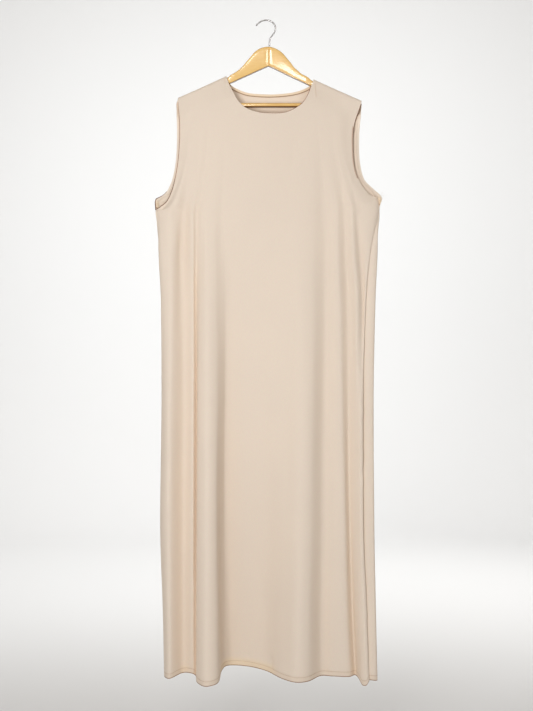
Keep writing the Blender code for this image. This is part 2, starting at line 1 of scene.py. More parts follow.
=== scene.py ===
import math
import bpy
import bmesh
import numpy as np
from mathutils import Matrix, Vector


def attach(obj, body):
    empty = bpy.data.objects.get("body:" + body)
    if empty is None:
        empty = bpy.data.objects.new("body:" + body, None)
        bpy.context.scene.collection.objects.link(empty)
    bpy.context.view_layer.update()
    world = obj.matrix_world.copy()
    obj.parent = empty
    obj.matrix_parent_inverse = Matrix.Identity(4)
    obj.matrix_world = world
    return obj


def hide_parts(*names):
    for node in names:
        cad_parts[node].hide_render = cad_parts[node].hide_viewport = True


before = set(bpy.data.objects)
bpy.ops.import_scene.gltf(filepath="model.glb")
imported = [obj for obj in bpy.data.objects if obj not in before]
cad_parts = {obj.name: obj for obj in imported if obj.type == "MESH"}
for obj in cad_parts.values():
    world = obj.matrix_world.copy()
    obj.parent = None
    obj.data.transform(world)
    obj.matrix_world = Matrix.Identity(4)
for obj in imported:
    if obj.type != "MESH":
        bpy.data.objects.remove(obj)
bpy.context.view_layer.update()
mm = 0.001
print("frame loaded:", len(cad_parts), "solids")

# Tables are in millimetres. Across runs to the right as the front is faced, up is height, and forward is
# towards the viewer, which is -Y. The hook's rail is at 0, 0, 0.

cloth = {
    "thickness": 0.9,            # crepe alone
    "seamGap": 0.3,              # between front and back at the side and shoulder seams
    "seamRoll": 0.35,            # how far the cloth rolls in at a side seam
    "seamRollReach": 3.2,
    "seamRollFrom": -436.0,      # only below the arm
    "seamRollFade": 14.0,
    "turnGap": 1.1,              # from the outer face to a turned edge
    "turnThickness": 0.8,
    "neckTurn": 7.0,             # width of the turned neck edge
    "armholeTurn": 7.0,
    "hemTurn": 11.0,
    "hemRows": (0.0, 0.8, 2.5, 5.5, 8.5, 10.2, 11.0, 11.8, 13.5, 17.0),   # close together at the turned hem
    "bodyRows": 176,             # even rows from there to the underarm
}
drape = {
    "seamOverArm": 9.0,          # how far the cloth wraps down before it leaves the hanger's arm
    "wrapHalf": 8.3,             # half the width of that wrap, from front to back
    "frontHang": 27.5,           # how far forward the front hangs in the middle
    "frontSide": 20.0,           # how much less it is at the sides
    "frontSideFrom": 190.0,
    "frontSideReach": 82.0,
    "frontLeave": 65.0,          # the front leaves the arm over this drop
    "frontSlackFrom": 38.0,      # and hangs free over this one
    "frontSlackReach": 70.0,
    "backHang": 13.0,
    "backSide": 21.0,
    "backSideReach": 272.0,
    "backLeave": 80.0,
    "backStand": 1.2,            # the back stands off the arm by this much just under the seam
    "backStandReach": 14.0,
}
shoulders = {"left": ((-95, -134), (-209, -191)), "right": ((114, -142), (227, -198))}
hangerPlan = {"sweep": 22.0, "reach": 205.0, "middle": 8.0}

levels = (-461, -552, -671, -909, -1195, -1409, -1558)     # heights that the fold tables are given at
calfHeight = levels[-2]
hemHeight = levels[-1]
underarmHeight = -478

# one entry per ridge or valley: name, strips of cloth to the next one, height at the hem,
# and below them (across, forward) at each level
frontFolds = (
    ("leftSeam", 2, -1558,
     (-264, 8), (-256, 4), (-247, 0), (-244, -8), (-246, -14), (-240, -18), (-236, -22)),
    ("leftTurn", 2, -1560,
     (-253, 15), (-256, 14), (-251, 14), (-249, 16), (-252, 22), (-245, 30), (-240, 42)),
    ("leftRidge", 3, -1558,
     (-234, 23), (-228, 28), (-226, 31), (-228, 41), (-229, 52), (-227, 60), (-225, 67)),
    ("leftSlope", 2, -1552,
     (-196, 19), (-198, 15), (-197, 13), (-195, 18), (-196, 26), (-195, 34), (-195, 41)),
    ("leftRise", 1, -1551,
     (-174, 25), (-173, 24), (-173, 22), (-172, 29), (-172, 39), (-172, 47), (-171, 53)),
    ("pipeCrease", 2, -1557,
     (-166, 22), (-167, 19), (-168, 16), (-166, 22), (-166, 32), (-166, 42), (-165, 49)),
    ("pipeEdge", 3, -1563,
     (-153, 26), (-154, 26), (-157, 28), (-161, 36), (-161, 52), (-162, 62), (-161, 75)),
    ("pipeFront", 2, -1565,
     (-142, 28), (-142, 32), (-140, 38), (-139, 52), (-138, 73), (-139, 89), (-139, 104)),
    ("pipeSide", 2, -1562,
     (-123, 28), (-122, 30), (-120, 33), (-117, 43), (-116, 62), (-114, 77), (-113, 92)),
    ("recessSlope", 3, -1552,
     (-108, 26), (-107, 24), (-106, 23), (-105, 24), (-106, 22), (-105, 20), (-104, 18)),
    ("recessLeft", 2, -1546,
     (-96, 26), (-94, 21), (-93, 16), (-95, 11), (-97, 8), (-96, 8), (-95, 8)),
    ("recessDeep", 3, -1547,
     (-47, 28), (-48, 20), (-48, 15), (-48, 9), (-48, 6), (-48, 5), (-48, 5)),
    ("swellStart", 3, -1553,
     (0, 28), (0, 23), (0, 18), (0, 15), (0, 14), (0, 16), (-1, 21)),
    ("swellRise", 3, -1559,
     (43, 28), (43, 27), (43, 26), (43, 28), (42, 39), (40, 49), (38, 65)),
    ("swellCrest", 2, -1560,
     (84, 29), (84, 31), (83, 35), (83, 44), (78, 60), (73, 75), (71, 90)),
    ("swellSide", 3, -1559,
     (111, 28), (111, 29), (111, 32), (108, 41), (103, 57), (98, 71), (97, 85)),
    ("swellSlope", 2, -1556,
     (142, 23), (141, 20), (140, 19), (137, 22), (134, 33), (131, 40), (131, 51)),
    ("hollowLeft", 2, -1556,
     (153, 25), (153, 22), (153, 21), (153, 24), (155, 35), (155, 44), (158, 56)),
    ("hollowRidge", 2, -1556,
     (168, 28), (170, 27), (174, 27), (178, 31), (185, 40), (189, 49), (196, 59)),
    ("edgeCrease", 2, -1556,
     (187, 25), (189, 19), (194, 17), (196, 19), (198.5, 27), (204.5, 35), (210.5, 46)),
    ("edgeRise", 3, -1560,
     (196, 27), (198, 23), (204, 21), (206, 24), (207, 33), (211.5, 44), (217, 58)),
    ("edgePipe", 2, -1571,
     (204, 29), (208, 28), (216, 28), (215.5, 31), (216.5, 42), (221, 56), (225.5, 75)),
    ("edgeSide", 2, -1569,
     (218, 26), (225, 20), (231, 19), (224, 34.5), (223.5, 47), (230, 62), (233.5, 81)),
    ("edgeFall", 1, -1563,
     (236, 27), (238, 24), (235, 22), (229, 33), (229, 46), (235, 60.5), (238, 79.5)),
    ("edgeLip", 1, -1560,
     (263, 24), (246, 24), (237, 22), (231, 30), (229.5, 43), (237, 57.5), (240, 77)),
    ("rightSeam", 0, -1559,
     (271, 17), (250, 22), (239, 20), (232, 27), (230.5, 40), (238, 55), (241, 74)),
)
backFolds = (
    ("leftSeam", 2, -1558,
     (-264, 8), (-256, 4), (-247, 0), (-244, -8), (-246, -14), (-240, -18), (-236, -22)),
    ("leftUnder", 2, -1558,
     (-246, -1), (-238, -5), (-234, -10), (-232, -20), (-235, -28), (-234, -37), (-232, -44)),
    ("leftFold", 3, -1560,
     (-212, -8), (-210, -13), (-210, -20), (-209, -31), (-212, -44), (-213, -54), (-214, -64)),
    ("leftDip", 3, -1556,
     (-169, -11), (-171, -15), (-172, -20), (-175, -25), (-177, -29), (-179, -31), (-180, -33)),
    ("secondFold", 3, -1561,
     (-129, -12), (-131, -18), (-133, -26), (-137, -40), (-140, -56), (-143, -70), (-146, -84)),
    ("secondDip", 3, -1556,
     (-77, -13), (-80, -17), (-82, -21), (-85, -27), (-88, -33), (-90, -37), (-93, -41)),
    ("middleFold", 3, -1561,
     (-24, -13), (-27, -19), (-29, -27), (-32, -41), (-34, -57), (-37, -71), (-40, -85)),
    ("middleDip", 3, -1556,
     (27, -13), (24, -17), (22, -21), (19, -26), (17, -31), (15, -35), (12, -39)),
    ("fourthFold", 3, -1561,
     (80, -13), (77, -19), (75, -26), (73, -39), (71, -54), (69, -68), (67, -82)),
    ("fourthDip", 3, -1556,
     (130, -12), (130, -16), (128, -20), (126, -25), (124, -29), (122, -32), (119, -36)),
    ("rightFold", 3, -1560,
     (176, -11), (176, -18), (175, -26), (173, -38), (171, -51), (172, -62), (172, -72)),
    ("rightDip", 3, -1557,
     (219, -8), (217, -12), (215, -18), (213, -24), (211, -29), (211, -30), (211, -28)),
    ("rightUnder", 3, -1557,
     (250, -5), (252, -4), (250, -9), (245, -12), (247, -12), (250, -4), (252, 12)),
    ("rightTurn", 1, -1562,
     (267, 4), (266, 17), (261, 17), (256, 23), (255.5, 36), (258, 51), (260, 67)),
    ("stripCrest", 1, -1561,
     (272, 12), (262, 21), (253, 21), (247.5, 27), (247, 39), (251.5, 54), (253.5, 72)),
    ("rightSeam", 0, -1559,
     (271, 17), (250, 22), (239, 20), (232, 27), (230.5, 40), (238, 55), (241, 74)),
)

# (across, up) along the edges; the first two points of an armhole are the top of the side seam
frontPanelShape = {
    "side": -1,
    "folds": frontFolds,
    "finer": 3,                  # strips of faces in one strip of the table
    "neckLines": ("pipeSide", "swellSlope"),
    "neckline": ((-95, -134), (-89, -153), (-78, -177), (-63, -202), (-44, -217), (-14, -226), (14, -228),
                 (45, -226), (69, -216), (87, -203), (99, -184), (107, -163), (114, -142)),
    "leftArmhole": ((-263, -478), (-264, -455), (-254, -449), (-238, -436), (-224, -409), (-211, -352),
                    (-205.5, -290), (-205, -243), (-208, -203)),
    "rightArmhole": ((267, -478), (271, -448), (266, -427), (250, -420.5), (229, -399), (212, -360),
                     (207, -308), (209, -257), (225, -207)),
    "edgeLean": {"reach": 46.0, "gap": 6.0, "most": 5.0, "from": -214.0, "fade": 26.0},
}
backPanelShape = {
    "side": 1,
    "folds": backFolds,
    "finer": 4,
    "neckLines": ("secondFold", "fourthDip"),
    "neckline": ((-95, -134), (-89, -148), (-80, -156), (-66, -163), (-46, -170), (-19, -173), (10, -174),
                 (46, -172), (73, -168), (92, -162), (107, -154), (114, -142)),
    "leftArmhole": ((-263, -478), (-264, -455), (-263.5, -430), (-255, -424.5), (-240, -415), (-225, -387),
                    (-215, -340), (-212, -271), (-214, -203)),
    "rightArmhole": ((267, -478), (271, -448), (276, -427), (257, -405), (235, -384), (224, -345),
                     (221.5, -300), (224, -250), (228, -208)),
    "edgeLean": {"reach": 58.0, "gap": 8.6, "most": 20.0, "from": -214.0, "fade": 22.0},
}
yoke = {
    # how far up the row of each armhole point stands, as a share
    "rise": (0.0, 0.07, 0.11, 0.18, 0.33, 0.50, 0.68, 0.84, 1.0),
    "finer": 6,                  # rows of faces from one armhole point to the next
    "edgeReach": (0.35, 0.12),   # share of the width over which an armhole's shape dies out, across and up
    "neckStart": 0.021,          # share of the neck edge that lies over the wood at each end
    "neckByLength": 0.4,         # the columns along it follow those below by this share, the rest is even
    "neckCorner": (3.0, 8.5),    # out and down, from the neck point to the row below it
    "overArm": (14, 28, 42, 55, 67, 79, 90),    # degrees of the rows that wrap the top edge over the arm
    "leanStart": 3.2,            # armhole points over which the lean begins
    "foldFade": (1.1, 1.3),      # how soon and how steeply the skirt's folds die out upwards
}


# Shape of the cloth

def smoothStep(value):
    value = np.clip(value, 0.0, 1.0)
    return value * value * (3.0 - 2.0 * value)


def steadyCurve(places, values, wanted):
    # cubic through the values that never swings past them; places rise
    places = np.asarray(places, float)
    values = np.asarray(values, float)
    widths = np.diff(places)
    rises = np.diff(values) / widths
    slopes = np.zeros(len(places))
    for i in range(1, len(places) - 1):
        if rises[i - 1] * rises[i] > 0:
            first = 2 * widths[i] + widths[i - 1]
            second = widths[i] + 2 * widths[i - 1]
            slopes[i] = (first + second) / (first / rises[i - 1] + second / rises[i])
    slopes[0] = rises[0]
    slopes[-1] = rises[-1]
    wanted = np.asarray(wanted, float)
    k = np.clip(np.searchsorted(places, wanted) - 1, 0, len(widths) - 1)
    t = (wanted - places[k]) / widths[k]
    return ((1 + 2 * t) * (1 - t) ** 2 * values[k] + t * (1 - t) ** 2 * widths[k] * slopes[k]
            + t * t * (3 - 2 * t) * values[k + 1] + t * t * (t - 1) * widths[k] * slopes[k + 1])


def flowingLine(points, steps):
    # smooth line through the points, steps[i] stretches between point i and the next
    points = np.asarray(points, float)
    count = len(points)
    spans = np.maximum(np.sqrt(np.linalg.norm(np.diff(points, axis=0), axis=1)), 1e-6)
    tangents = np.zeros_like(points)
    for i in range(1, count - 1):
        before = (points[i] - points[i - 1]) / spans[i - 1]
        after = (points[i + 1] - points[i]) / spans[i]
        tangents[i] = (before * spans[i] + after * spans[i - 1]) / (spans[i] + spans[i - 1])
    tangents[0] = (points[1] - points[0]) / spans[0]
    tangents[-1] = (points[-1] - points[-2]) / spans[-1]
    line = [points[0]]
    for i in range(count - 1):
        for step in range(1, steps[i] + 1):
            t = step / steps[i]
            line.append((1 + 2 * t) * (1 - t) ** 2 * points[i] + t * (1 - t) ** 2 * spans[i] * tangents[i]
                        + t * t * (3 - 2 * t) * points[i + 1] + t * t * (t - 1) * spans[i] * tangents[i + 1])
    return np.array(line)


def lengthsAlong(line):
    # distance along the line to each of its points
    return np.concatenate([[0], np.cumsum(np.linalg.norm(np.diff(line, axis=0), axis=1))])


def along(line, shares):
    lengths = lengthsAlong(line)
    wanted = np.asarray(shares) * lengths[-1]
    return np.stack([np.interp(wanted, lengths, line[:, axis]) for axis in range(line.shape[1])], axis=1)


def shoulderHeight(across):
    (leftNeck, leftTip), (rightNeck, rightTip) = shoulders["left"], shoulders["right"]
    stations = (leftTip, leftNeck, rightNeck, rightTip)
    return np.interp(across, [point[0] for point in stations], [point[1] for point in stations])


def armDepth(across):
    # Y of the hanger's middle plane, which sweeps forward to the arm ends
    return -hangerPlan["sweep"] * ((across - hangerPlan["middle"]) / hangerPlan["reach"]) ** 2


def yokeDepth(across, up, side):
    # Y of the outer face between the underarm and the shoulder seam
    drop = np.maximum(shoulderHeight(across) - up, 0.0)
    half = drape["wrapHalf"]
    wrap = half * np.sqrt(1.0 - np.clip(1.0 - drop / drape["seamOverArm"], 0.0, 1.0) ** 2)
    reach = np.abs(across - hangerPlan["middle"])
    arm = armDepth(across)
    if side < 0:
        outward = np.clip((reach - drape["frontSideFrom"]) / drape["frontSideReach"], 0.0, 1.0)
        hang = -drape["frontHang"] + drape["frontSide"] * outward ** 1.5
        besideWood = np.minimum(hang, arm - half)
        leave = (besideWood - arm + half) * smoothStep(drop / drape["frontLeave"])
        free = smoothStep((drop - drape["frontSlackFrom"]) / drape["frontSlackReach"])
        return arm - wrap + leave + (hang - besideWood) * free
    hang = drape["backHang"] - drape["backSide"] * np.clip(reach / drape["backSideReach"], 0.0, 1.0) ** 2.5
    leave = smoothStep(drop / drape["backLeave"])
    stand = drape["backStand"] * smoothStep(drop / drape["backStandReach"]) * (1.0 - leave)
    return arm + wrap + stand + (hang - arm - half) * leave


def sectionRow(shape, height):
    # one row below the underarm, as (across, y, up)
    folds = shape["folds"]
    places = [-level for level in levels]
    corners = []
    for fold in folds:
        across = steadyCurve(places, [pair[0] for pair in fold[3:]], -height)
        forward = steadyCurve(places, [pair[1] for pair in fold[3:]], -height)
        up = height
        if height < calfHeight:
            up = calfHeight + (fold[2] - calfHeight) * (height - calfHeight) / (hemHeight - calfHeight)
        corners.append((across, -forward, up))
    return flowingLine(corners, [fold[1] * shape["finer"] for fold in folds[:-1]])


def neckColumns(shape):
    names = [fold[0] for fold in shape["folds"]]
    found = []
    for name in shape["neckLines"]:
        found.append(sum(fold[1] for fold in shape["folds"][:names.index(name)]) * shape["finer"])
    return found


def edgeInsets(edge, width, direction):
    run = np.gradient(edge, axis=0)
    run /= np.linalg.norm(run, axis=1)[:, None]
    return edge + np.stack([run[:, 1], -run[:, 0]], axis=1) * width * direction


def bodyHeights():
    heights = [hemHeight + above for above in cloth["hemRows"]]
    start = heights[-1]
    count = cloth["bodyRows"]
    heights += [start + (underarmHeight - start) * i / count for i in range(1, count + 1)]
    return heights


def topEdge(shape, spacing):
    # where each column ends on the shoulder seams and the neck edge
    neckLeft, neckRight = neckColumns(shape)
    (leftNeck, leftTip), (rightNeck, rightTip) = shoulders["left"], shoulders["right"]
    top = np.zeros((len(spacing), 2))
    share = (spacing[:neckLeft + 1] / spacing[neckLeft])[:, None]
    top[:neckLeft + 1] = (1 - share) * np.array(leftTip) + share * np.array(leftNeck)
    share = ((spacing[neckRight:] - spacing[neckRight]) / (spacing[-1] - spacing[neckRight]))[:, None]
    top[neckRight:] = (1 - share) * np.array(rightNeck) + share * np.array(rightTip)
    neckLine = flowingLine(shape["neckline"], [8] * (len(shape["neckline"]) - 1))
    first = shape["finer"]                      # this many fine columns lie over the wood at each neck point
    start, byLength = yoke["neckStart"], yoke["neckByLength"]
    bySpace = spacing[neckLeft + first:neckRight - first + 1] - spacing[neckLeft + first]
    byCount = np.linspace(0, 1, len(bySpace))
    mixed = start + (1 - 2 * start) * (byLength * bySpace / bySpace[-1] + (1 - byLength) * byCount)
    ramp = np.linspace(0, start, first + 1)[:-1]
    top[neckLeft:neckRight + 1] = along(neckLine, np.concatenate([ramp, mixed, 1 - ramp[::-1]]))
    return top


def rowBelowTop(shape, top):
    # under the arm's rounded edge, or a turned edge's width inside the neck
    neckLeft, neckRight = neckColumns(shape)
    out, down = yoke["neckCorner"]
    inset = top + np.array([0.0, -drape["seamOverArm"]])
    inset[neckLeft + 1:neckRight] = edgeInsets(top[neckLeft:neckRight + 1], cloth["neckTurn"], 1)[1:-1]
    inset[neckLeft] = top[neckLeft] + np.array([-out, -down])
    inset[neckRight] = top[neckRight] + np.array([out, -down])
    blend = 2 * shape["finer"]
    for end, toward in ((neckLeft, 1), (neckRight, -1)):
        near, far = inset[end].copy(), inset[end + toward * blend].copy()
        for step in range(1, blend):
            inset[end + toward * step] = near + (far - near) * step / blend
    return inset


def spreadBeside(rows, edge, spacing, strip, direction):
    # beside an armhole the first table strip is the turned edge, and the next three share what is left
    end = 0 if direction > 0 else len(spacing) - 1
    turned = end + direction * strip
    free = end + direction * 4 * strip
    beside = edgeInsets(edge, cloth["armholeTurn"], direction)
    fade = smoothStep(np.arange(len(edge)) / (2.0 * yoke["finer"]))[:, None]
    rows[:, turned] += fade * (beside - rows[:, turned])
    for step in range(1, strip):
        spread = edge + (rows[:, turned] - edge) * step / strip
        rows[:, end + direction * step] += fade * (spread - rows[:, end + direction * step])
    width = abs(spacing[free] - spacing[turned])
    for step in range(strip + 1, 4 * strip):
        column = end + direction * step
        share = abs(spacing[column] - spacing[turned]) / width
        spread = (1 - share) * rows[:, turned] + share * rows[:, free]
        rows[:, column] += fade * (spread - rows[:, column])


def yokeRows(shape, underarm):
    finer = yoke["finer"]
    edgeSteps = [finer] * (len(yoke["rise"]) - 1)
    left = flowingLine(shape["leftArmhole"], edgeSteps)
    right = flowingLine(shape["rightArmhole"], edgeSteps)
    rises = steadyCurve(range(len(yoke["rise"])), yoke["rise"], np.arange(len(left)) / finer)
    spacing = lengthsAlong(underarm[:, :2])
    top = topEdge(shape, spacing)
    inset = rowBelowTop(shape, top)
    inset[0] = left[-1]
    inset[-1] = right[-1]

    bottom = underarm[:, [0, 2]]
    u = spacing / spacing[-1]
    evenly = bottom[0] + u[:, None] * (bottom[-1] - bottom[0])
    nearLeft = np.stack([np.clip(1 - u / reach, 0, 1) ** 2 for reach in yoke["edgeReach"]], axis=1)
    nearRight = np.stack([np.clip(1 - (1 - u) / reach, 0, 1) ** 2 for reach in yoke["edgeReach"]], axis=1)
    rows = []
    for k, rise in enumerate(rises):
        share = np.array([rise ** 1.5, rise])
        base = bottom + (evenly - bottom) * min(3.0 * rise, 1.0)
        row = (1 - share) * base + share * inset
        rows.append(row + nearLeft * (left[k] - row[0]) + nearRight * (right[k] - row[-1]))
    rows = np.array(rows)
    spreadBeside(rows, left, spacing, shape["finer"], 1)
    spreadBeside(rows, right, spacing, shape["finer"], -1)
    for angle in yoke["overArm"]:
        rows = np.concatenate([rows, [inset + (top - inset) * math.sin(math.radians(angle))]])

    grid = []
    soon, steep = yoke["foldFade"]
    ripple = underarm[:, 1] - yokeDepth(underarm[:, 0], underarm[:, 2], shape["side"])
    for k, row in enumerate(rows):
        v = min(k / (len(left) - 1), 1.0)
        depth = yokeDepth(row[:, 0], row[:, 1], shape["side"]) + ripple * (1 - smoothStep(v * soon)) ** steep
        grid.append(np.stack([row[:, 0], depth, row[:, 1]], axis=1))
    return leanEdges(np.array(grid), shape)


def leanEdges(grid, shape):
    # below the hanger the armhole edges of front and back lean towards each other until they almost touch
    lean = shape["edgeLean"]
    side = shape["side"]
    across, depth, up = grid[:, :, 0], grid[:, :, 1], grid[:, :, 2]
    free = smoothStep((lean["from"] - up) / lean["fade"])
    aboveSeam = np.arange(len(grid)) / (yoke["leanStart"] * yoke["finer"])
    free = free * smoothStep(aboveSeam)[:, None]          # no lean at the side seam
    wanted = yokeDepth(across, up, -side) + side * lean["gap"]
    move = side * np.clip(side * (wanted - depth), -lean["most"], 0.0)
    for end in (0, -1):
        away = np.hypot(across - across[:, [end]], up - up[:, [end]])
        grid[:, :, 1] += free * move * smoothStep(1.0 - away / lean["reach"])
    return grid


def panelGrid(shape):
    body = np.array([sectionRow(shape, height) for height in bodyHeights()])
    return np.concatenate([body, yokeRows(shape, body[-1])[1:]])


def gridNormals(grid, side):
    # unit normals that point into the garment
    normals = np.cross(np.gradient(grid, axis=1), np.gradient(grid, axis=0)) * side
    return normals / np.linalg.norm(normals, axis=2)[:, :, None]


# Creases, puckers and slack in the cloth

# soft creases: points (across, up) along each, half its width, and its height (minus is a trough)
frontCreases = (
    {"line": ((-186, -325), (-189, -390), (-193, -461), (-198, -552), (-200, -640)),
     "width": 11, "height": -3.6},
    {"line": ((-193, -380), (-198, -461), (-204, -552), (-205, -671), (-208, -760)),
     "width": 6.5, "height": -1.5},
    {"line": ((-233, -436), (-222, -480), (-216, -560)), "width": 8, "height": 1.2},
    {"line": ((-256, -500), (-247, -560), (-240, -640)), "width": 5, "height": 0.7},
    {"line": ((-158, -330), (-166, -420), (-167, -540)), "width": 7, "height": -1.4},
    {"line": ((-106, -400), (-108, -470), (-108, -600)), "width": 12, "height": -1.0},
    {"line": ((80, -262), (64, -330), (50, -400)), "width": 14, "height": -1.0},
    {"line": ((88, -455), (74, -555), (69, -670), (59, -909), (50, -1195)), "width": 5, "height": -0.55},
    {"line": ((-20, -600), (4, -800), (22, -1010), (30, -1200)), "width": 16, "height": 0.9},
    {"line": ((-40, -1240), (-10, -1360), (6, -1470)), "width": 11, "height": -1.0},
    {"line": ((-112, -960), (-110, -1195), (-107, -1409), (-107, -1552)), "width": 4, "height": -1.8},
    {"line": ((-82, -1508), (-66, -1526), (-54, -1546)), "width": 3, "height": -0.8},
    {"line": ((-60, -1503), (-40, -1522), (-24, -1548)), "width": 3.5, "height": -1.0},
    {"line": ((-30, -1512), (-14, -1530), (-4, -1552)), "width": 3, "height": 0.9},
    {"line": ((8, -1508), (13, -1530), (12, -1556)), "width": 3.2, "height": -2.4},
    {"line": ((124, -1530), (140, -1542), (152, -1554)), "width": 3, "height": -0.9},
    {"line": ((150, -1516), (164, -1532), (176, -1550)), "width": 3, "height": -0.8},
    {"line": ((128, -330), (131, -420), (132, -520)), "width": 9, "height": -1.2},
    {"line": ((176, -340), (181, -420), (185, -520)), "width": 7, "height": -1.2},
    {"line": ((205, -390), (213, -455), (222, -552), (231, -690)), "width": 5, "height": -1.2},
    {"line": ((233, -1060), (226, -1085), (221, -1120)), "width": 5, "height": -1.6},
    {"line": ((232, -1225), (226, -1240), (222, -1270)), "width": 4, "height": -0.8},
)
backCreases = (
    {"line": ((-236, -420), (-214, -470), (-196, -545)), "width": 7, "height": -1.3},
    {"line": ((-250, -458), (-236, -500), (-228, -560)), "width": 6, "height": 1.0},
    {"line": ((246, -410), (222, -462), (206, -540)), "width": 7, "height": -1.3},
    {"line": ((-60, -190), (-66, -300), (-72, -440)), "width": 18, "height": 1.0},
    {"line": ((72, -188), (80, -310), (84, -450)), "width": 16, "height": -1.0},
    {"line": ((6, -240), (2, -330), (-6, -450)), "width": 20, "height": 0.8},
    {"line": ((-104, -700), (-112, -900), (-108, -1100)), "width": 12, "height": -1.2},
    {"line": ((44, -760), (50, -960), (46, -1180)), "width": 13, "height": 1.2},
    {"line": ((150, -640), (158, -860), (154, -1060)), "width": 12, "height": -1.1},
    {"line": ((-188, -1180), (-196, -1310), (-192, -1440)), "width": 10, "height": 1.2},
)
slack = {
    "seed": 11,
    "broad": 0.35,               # height of the broad unevenness of hanging crepe
    "broadAcross": 62.0,
    "broadUp": 330.0,
    "fine": 0.10,
    "fineAcross": 19.0,
    "fineUp": 60.0,
    "heldOver": 90.0,            # the cloth is held at the shoulders and slackens over this drop
    "hemPucker": 0.42,           # stitching draws the hem in unevenly
    "hemPuckerLength": 9.0,
    "hemPuckerUp": 60.0,
    "hemPuckerAbove": 5.0,
    "hemPuckerReach": 9.0,
    "stitchSink": 0.45,
    "stitchWidth": 1.1,
    "turnEdge": 0.35,            # the upper edge of the turned hem shows through
    "turnEdgeAbove": 15.0,
    "turnEdgeWidth": 3.0,
    "seamPucker": 0.75,          # and the side seams are drawn in too, below the arm
    "seamPuckerLength": 26.0,
    "seamPuckerBeside": 6.0,
    "seamPuckerFrom": -440.0,
    "seamPuckerFade": 30.0,
}


def smoothNoise(x, z, seed):
    # even, repeatable waves: a lattice of random heights with smooth blends between
    grid = np.random.default_rng(seed).uniform(-1, 1, (64, 64))
    xi = np.floor(x).astype(int)
    zi = np.floor(z).astype(int)
    fx = smoothStep(x - xi)
    fz = smoothStep(z - zi)
    a = grid[xi % 64, zi % 64] * (1 - fx) + grid[(xi + 1) % 64, zi % 64] * fx
    b = grid[xi % 64, (zi + 1) % 64] * (1 - fx) + grid[(xi + 1) % 64, (zi + 1) % 64] * fx
    return a * (1 - fz) + b * fz


def creaseHeight(across, up, crease):
    line = flowingLine(crease["line"], [6] * (len(crease["line"]) - 1))
    lengths = lengthsAlong(line)
    nearest = np.full(across.shape, 1e9)
    place = np.zeros(across.shape)
    for i in range(len(line) - 1):
        run = line[i + 1] - line[i]
        t = ((across - line[i, 0]) * run[0] + (up - line[i, 1]) * run[1]) / (run @ run)
        t = np.clip(t, 0, 1)
        away = np.hypot(across - line[i, 0] - t * run[0], up - line[i, 1] - t * run[1])
        closer = away < nearest
        nearest = np.where(closer, away, nearest)
        place = np.where(closer, (lengths[i] + t * (lengths[i + 1] - lengths[i])) / lengths[-1], place)
    taper = np.clip(np.sin(math.pi * np.clip(place, 0.02, 0.98)), 0, 1) ** 0.8
    return crease["height"] * taper * np.exp(-(nearest / crease["width"]) ** 2)


def gridLengths(grid, axis):
    # distance along each row of a grid (axis 1) or each column (axis 0)
    runs = np.cumsum(np.linalg.norm(np.diff(grid, axis=axis), axis=2), axis=axis)
    return np.pad(runs, ((1, 0), (0, 0)) if axis == 0 else ((0, 0), (1, 0)))


def reliefOf(grid, shape, creases):
    # height of each point over the smooth form, outwards, in millimetres
    across = grid[:, :, 0]
    up = grid[:, :, 2]
    around = gridLengths(grid[:, :, :2], 1)
    relief = np.zeros(across.shape)
    for crease in creases:
        relief += creaseHeight(across, up, crease)
    seed = slack["seed"] + (1 if shape["side"] > 0 else 0)
    easy = smoothStep((shoulderHeight(across) - up) / slack["heldOver"])
    relief += easy * slack["broad"] * smoothNoise(around / slack["broadAcross"], up / slack["broadUp"], seed)
    fine = smoothNoise(around / slack["fineAcross"] + 7, up / slack["fineUp"], seed + 5)
    relief += easy * slack["fine"] * fine

    # the hem: puckers between edge and stitches, a sunk line of stitches, the turned edge behind
    aboveHem = up - up[0]
    inHem = np.clip(1 - np.abs(aboveHem - slack["hemPuckerAbove"]) / slack["hemPuckerReach"], 0, 1)
    pucker = smoothNoise(around / slack["hemPuckerLength"], aboveHem / slack["hemPuckerUp"], seed + 9)
    stitches = np.exp(-((aboveHem - cloth["hemTurn"]) / slack["stitchWidth"]) ** 2)
    behind = np.exp(-((aboveHem - slack["turnEdgeAbove"]) / slack["turnEdgeWidth"]) ** 2)
    relief += slack["hemPucker"] * inHem * pucker
    relief -= slack["stitchSink"] * stitches * (1 + 0.6 * pucker)
    relief += slack["turnEdge"] * behind * (0.7 + 0.5 * pucker)

    # side seams: the stitching puckers the cloth beside it
    belowArm = smoothStep((slack["seamPuckerFrom"] - up) / slack["seamPuckerFade"])
    for end, seamPlace in ((0, 9.5), (-1, 3.5)):
        away = np.abs(around - around[:, [end]])
        beside = np.exp(-((away - slack["seamPuckerBeside"]) / slack["seamPuckerBeside"]) ** 2)
        pulls = smoothNoise(up / slack["seamPuckerLength"], away * 0 + seamPlace, seed + 13)
        relief += slack["seamPucker"] * belowArm * beside * pulls
    return relief


# Walls of cloth

def gridUv(grid):
    # metres of cloth across and up, so that the weave keeps its scale
    across = gridLengths(grid, 1)
    return (across - across[:, [grid.shape[1] // 2]]) * mm, gridLengths(grid, 0) * mm


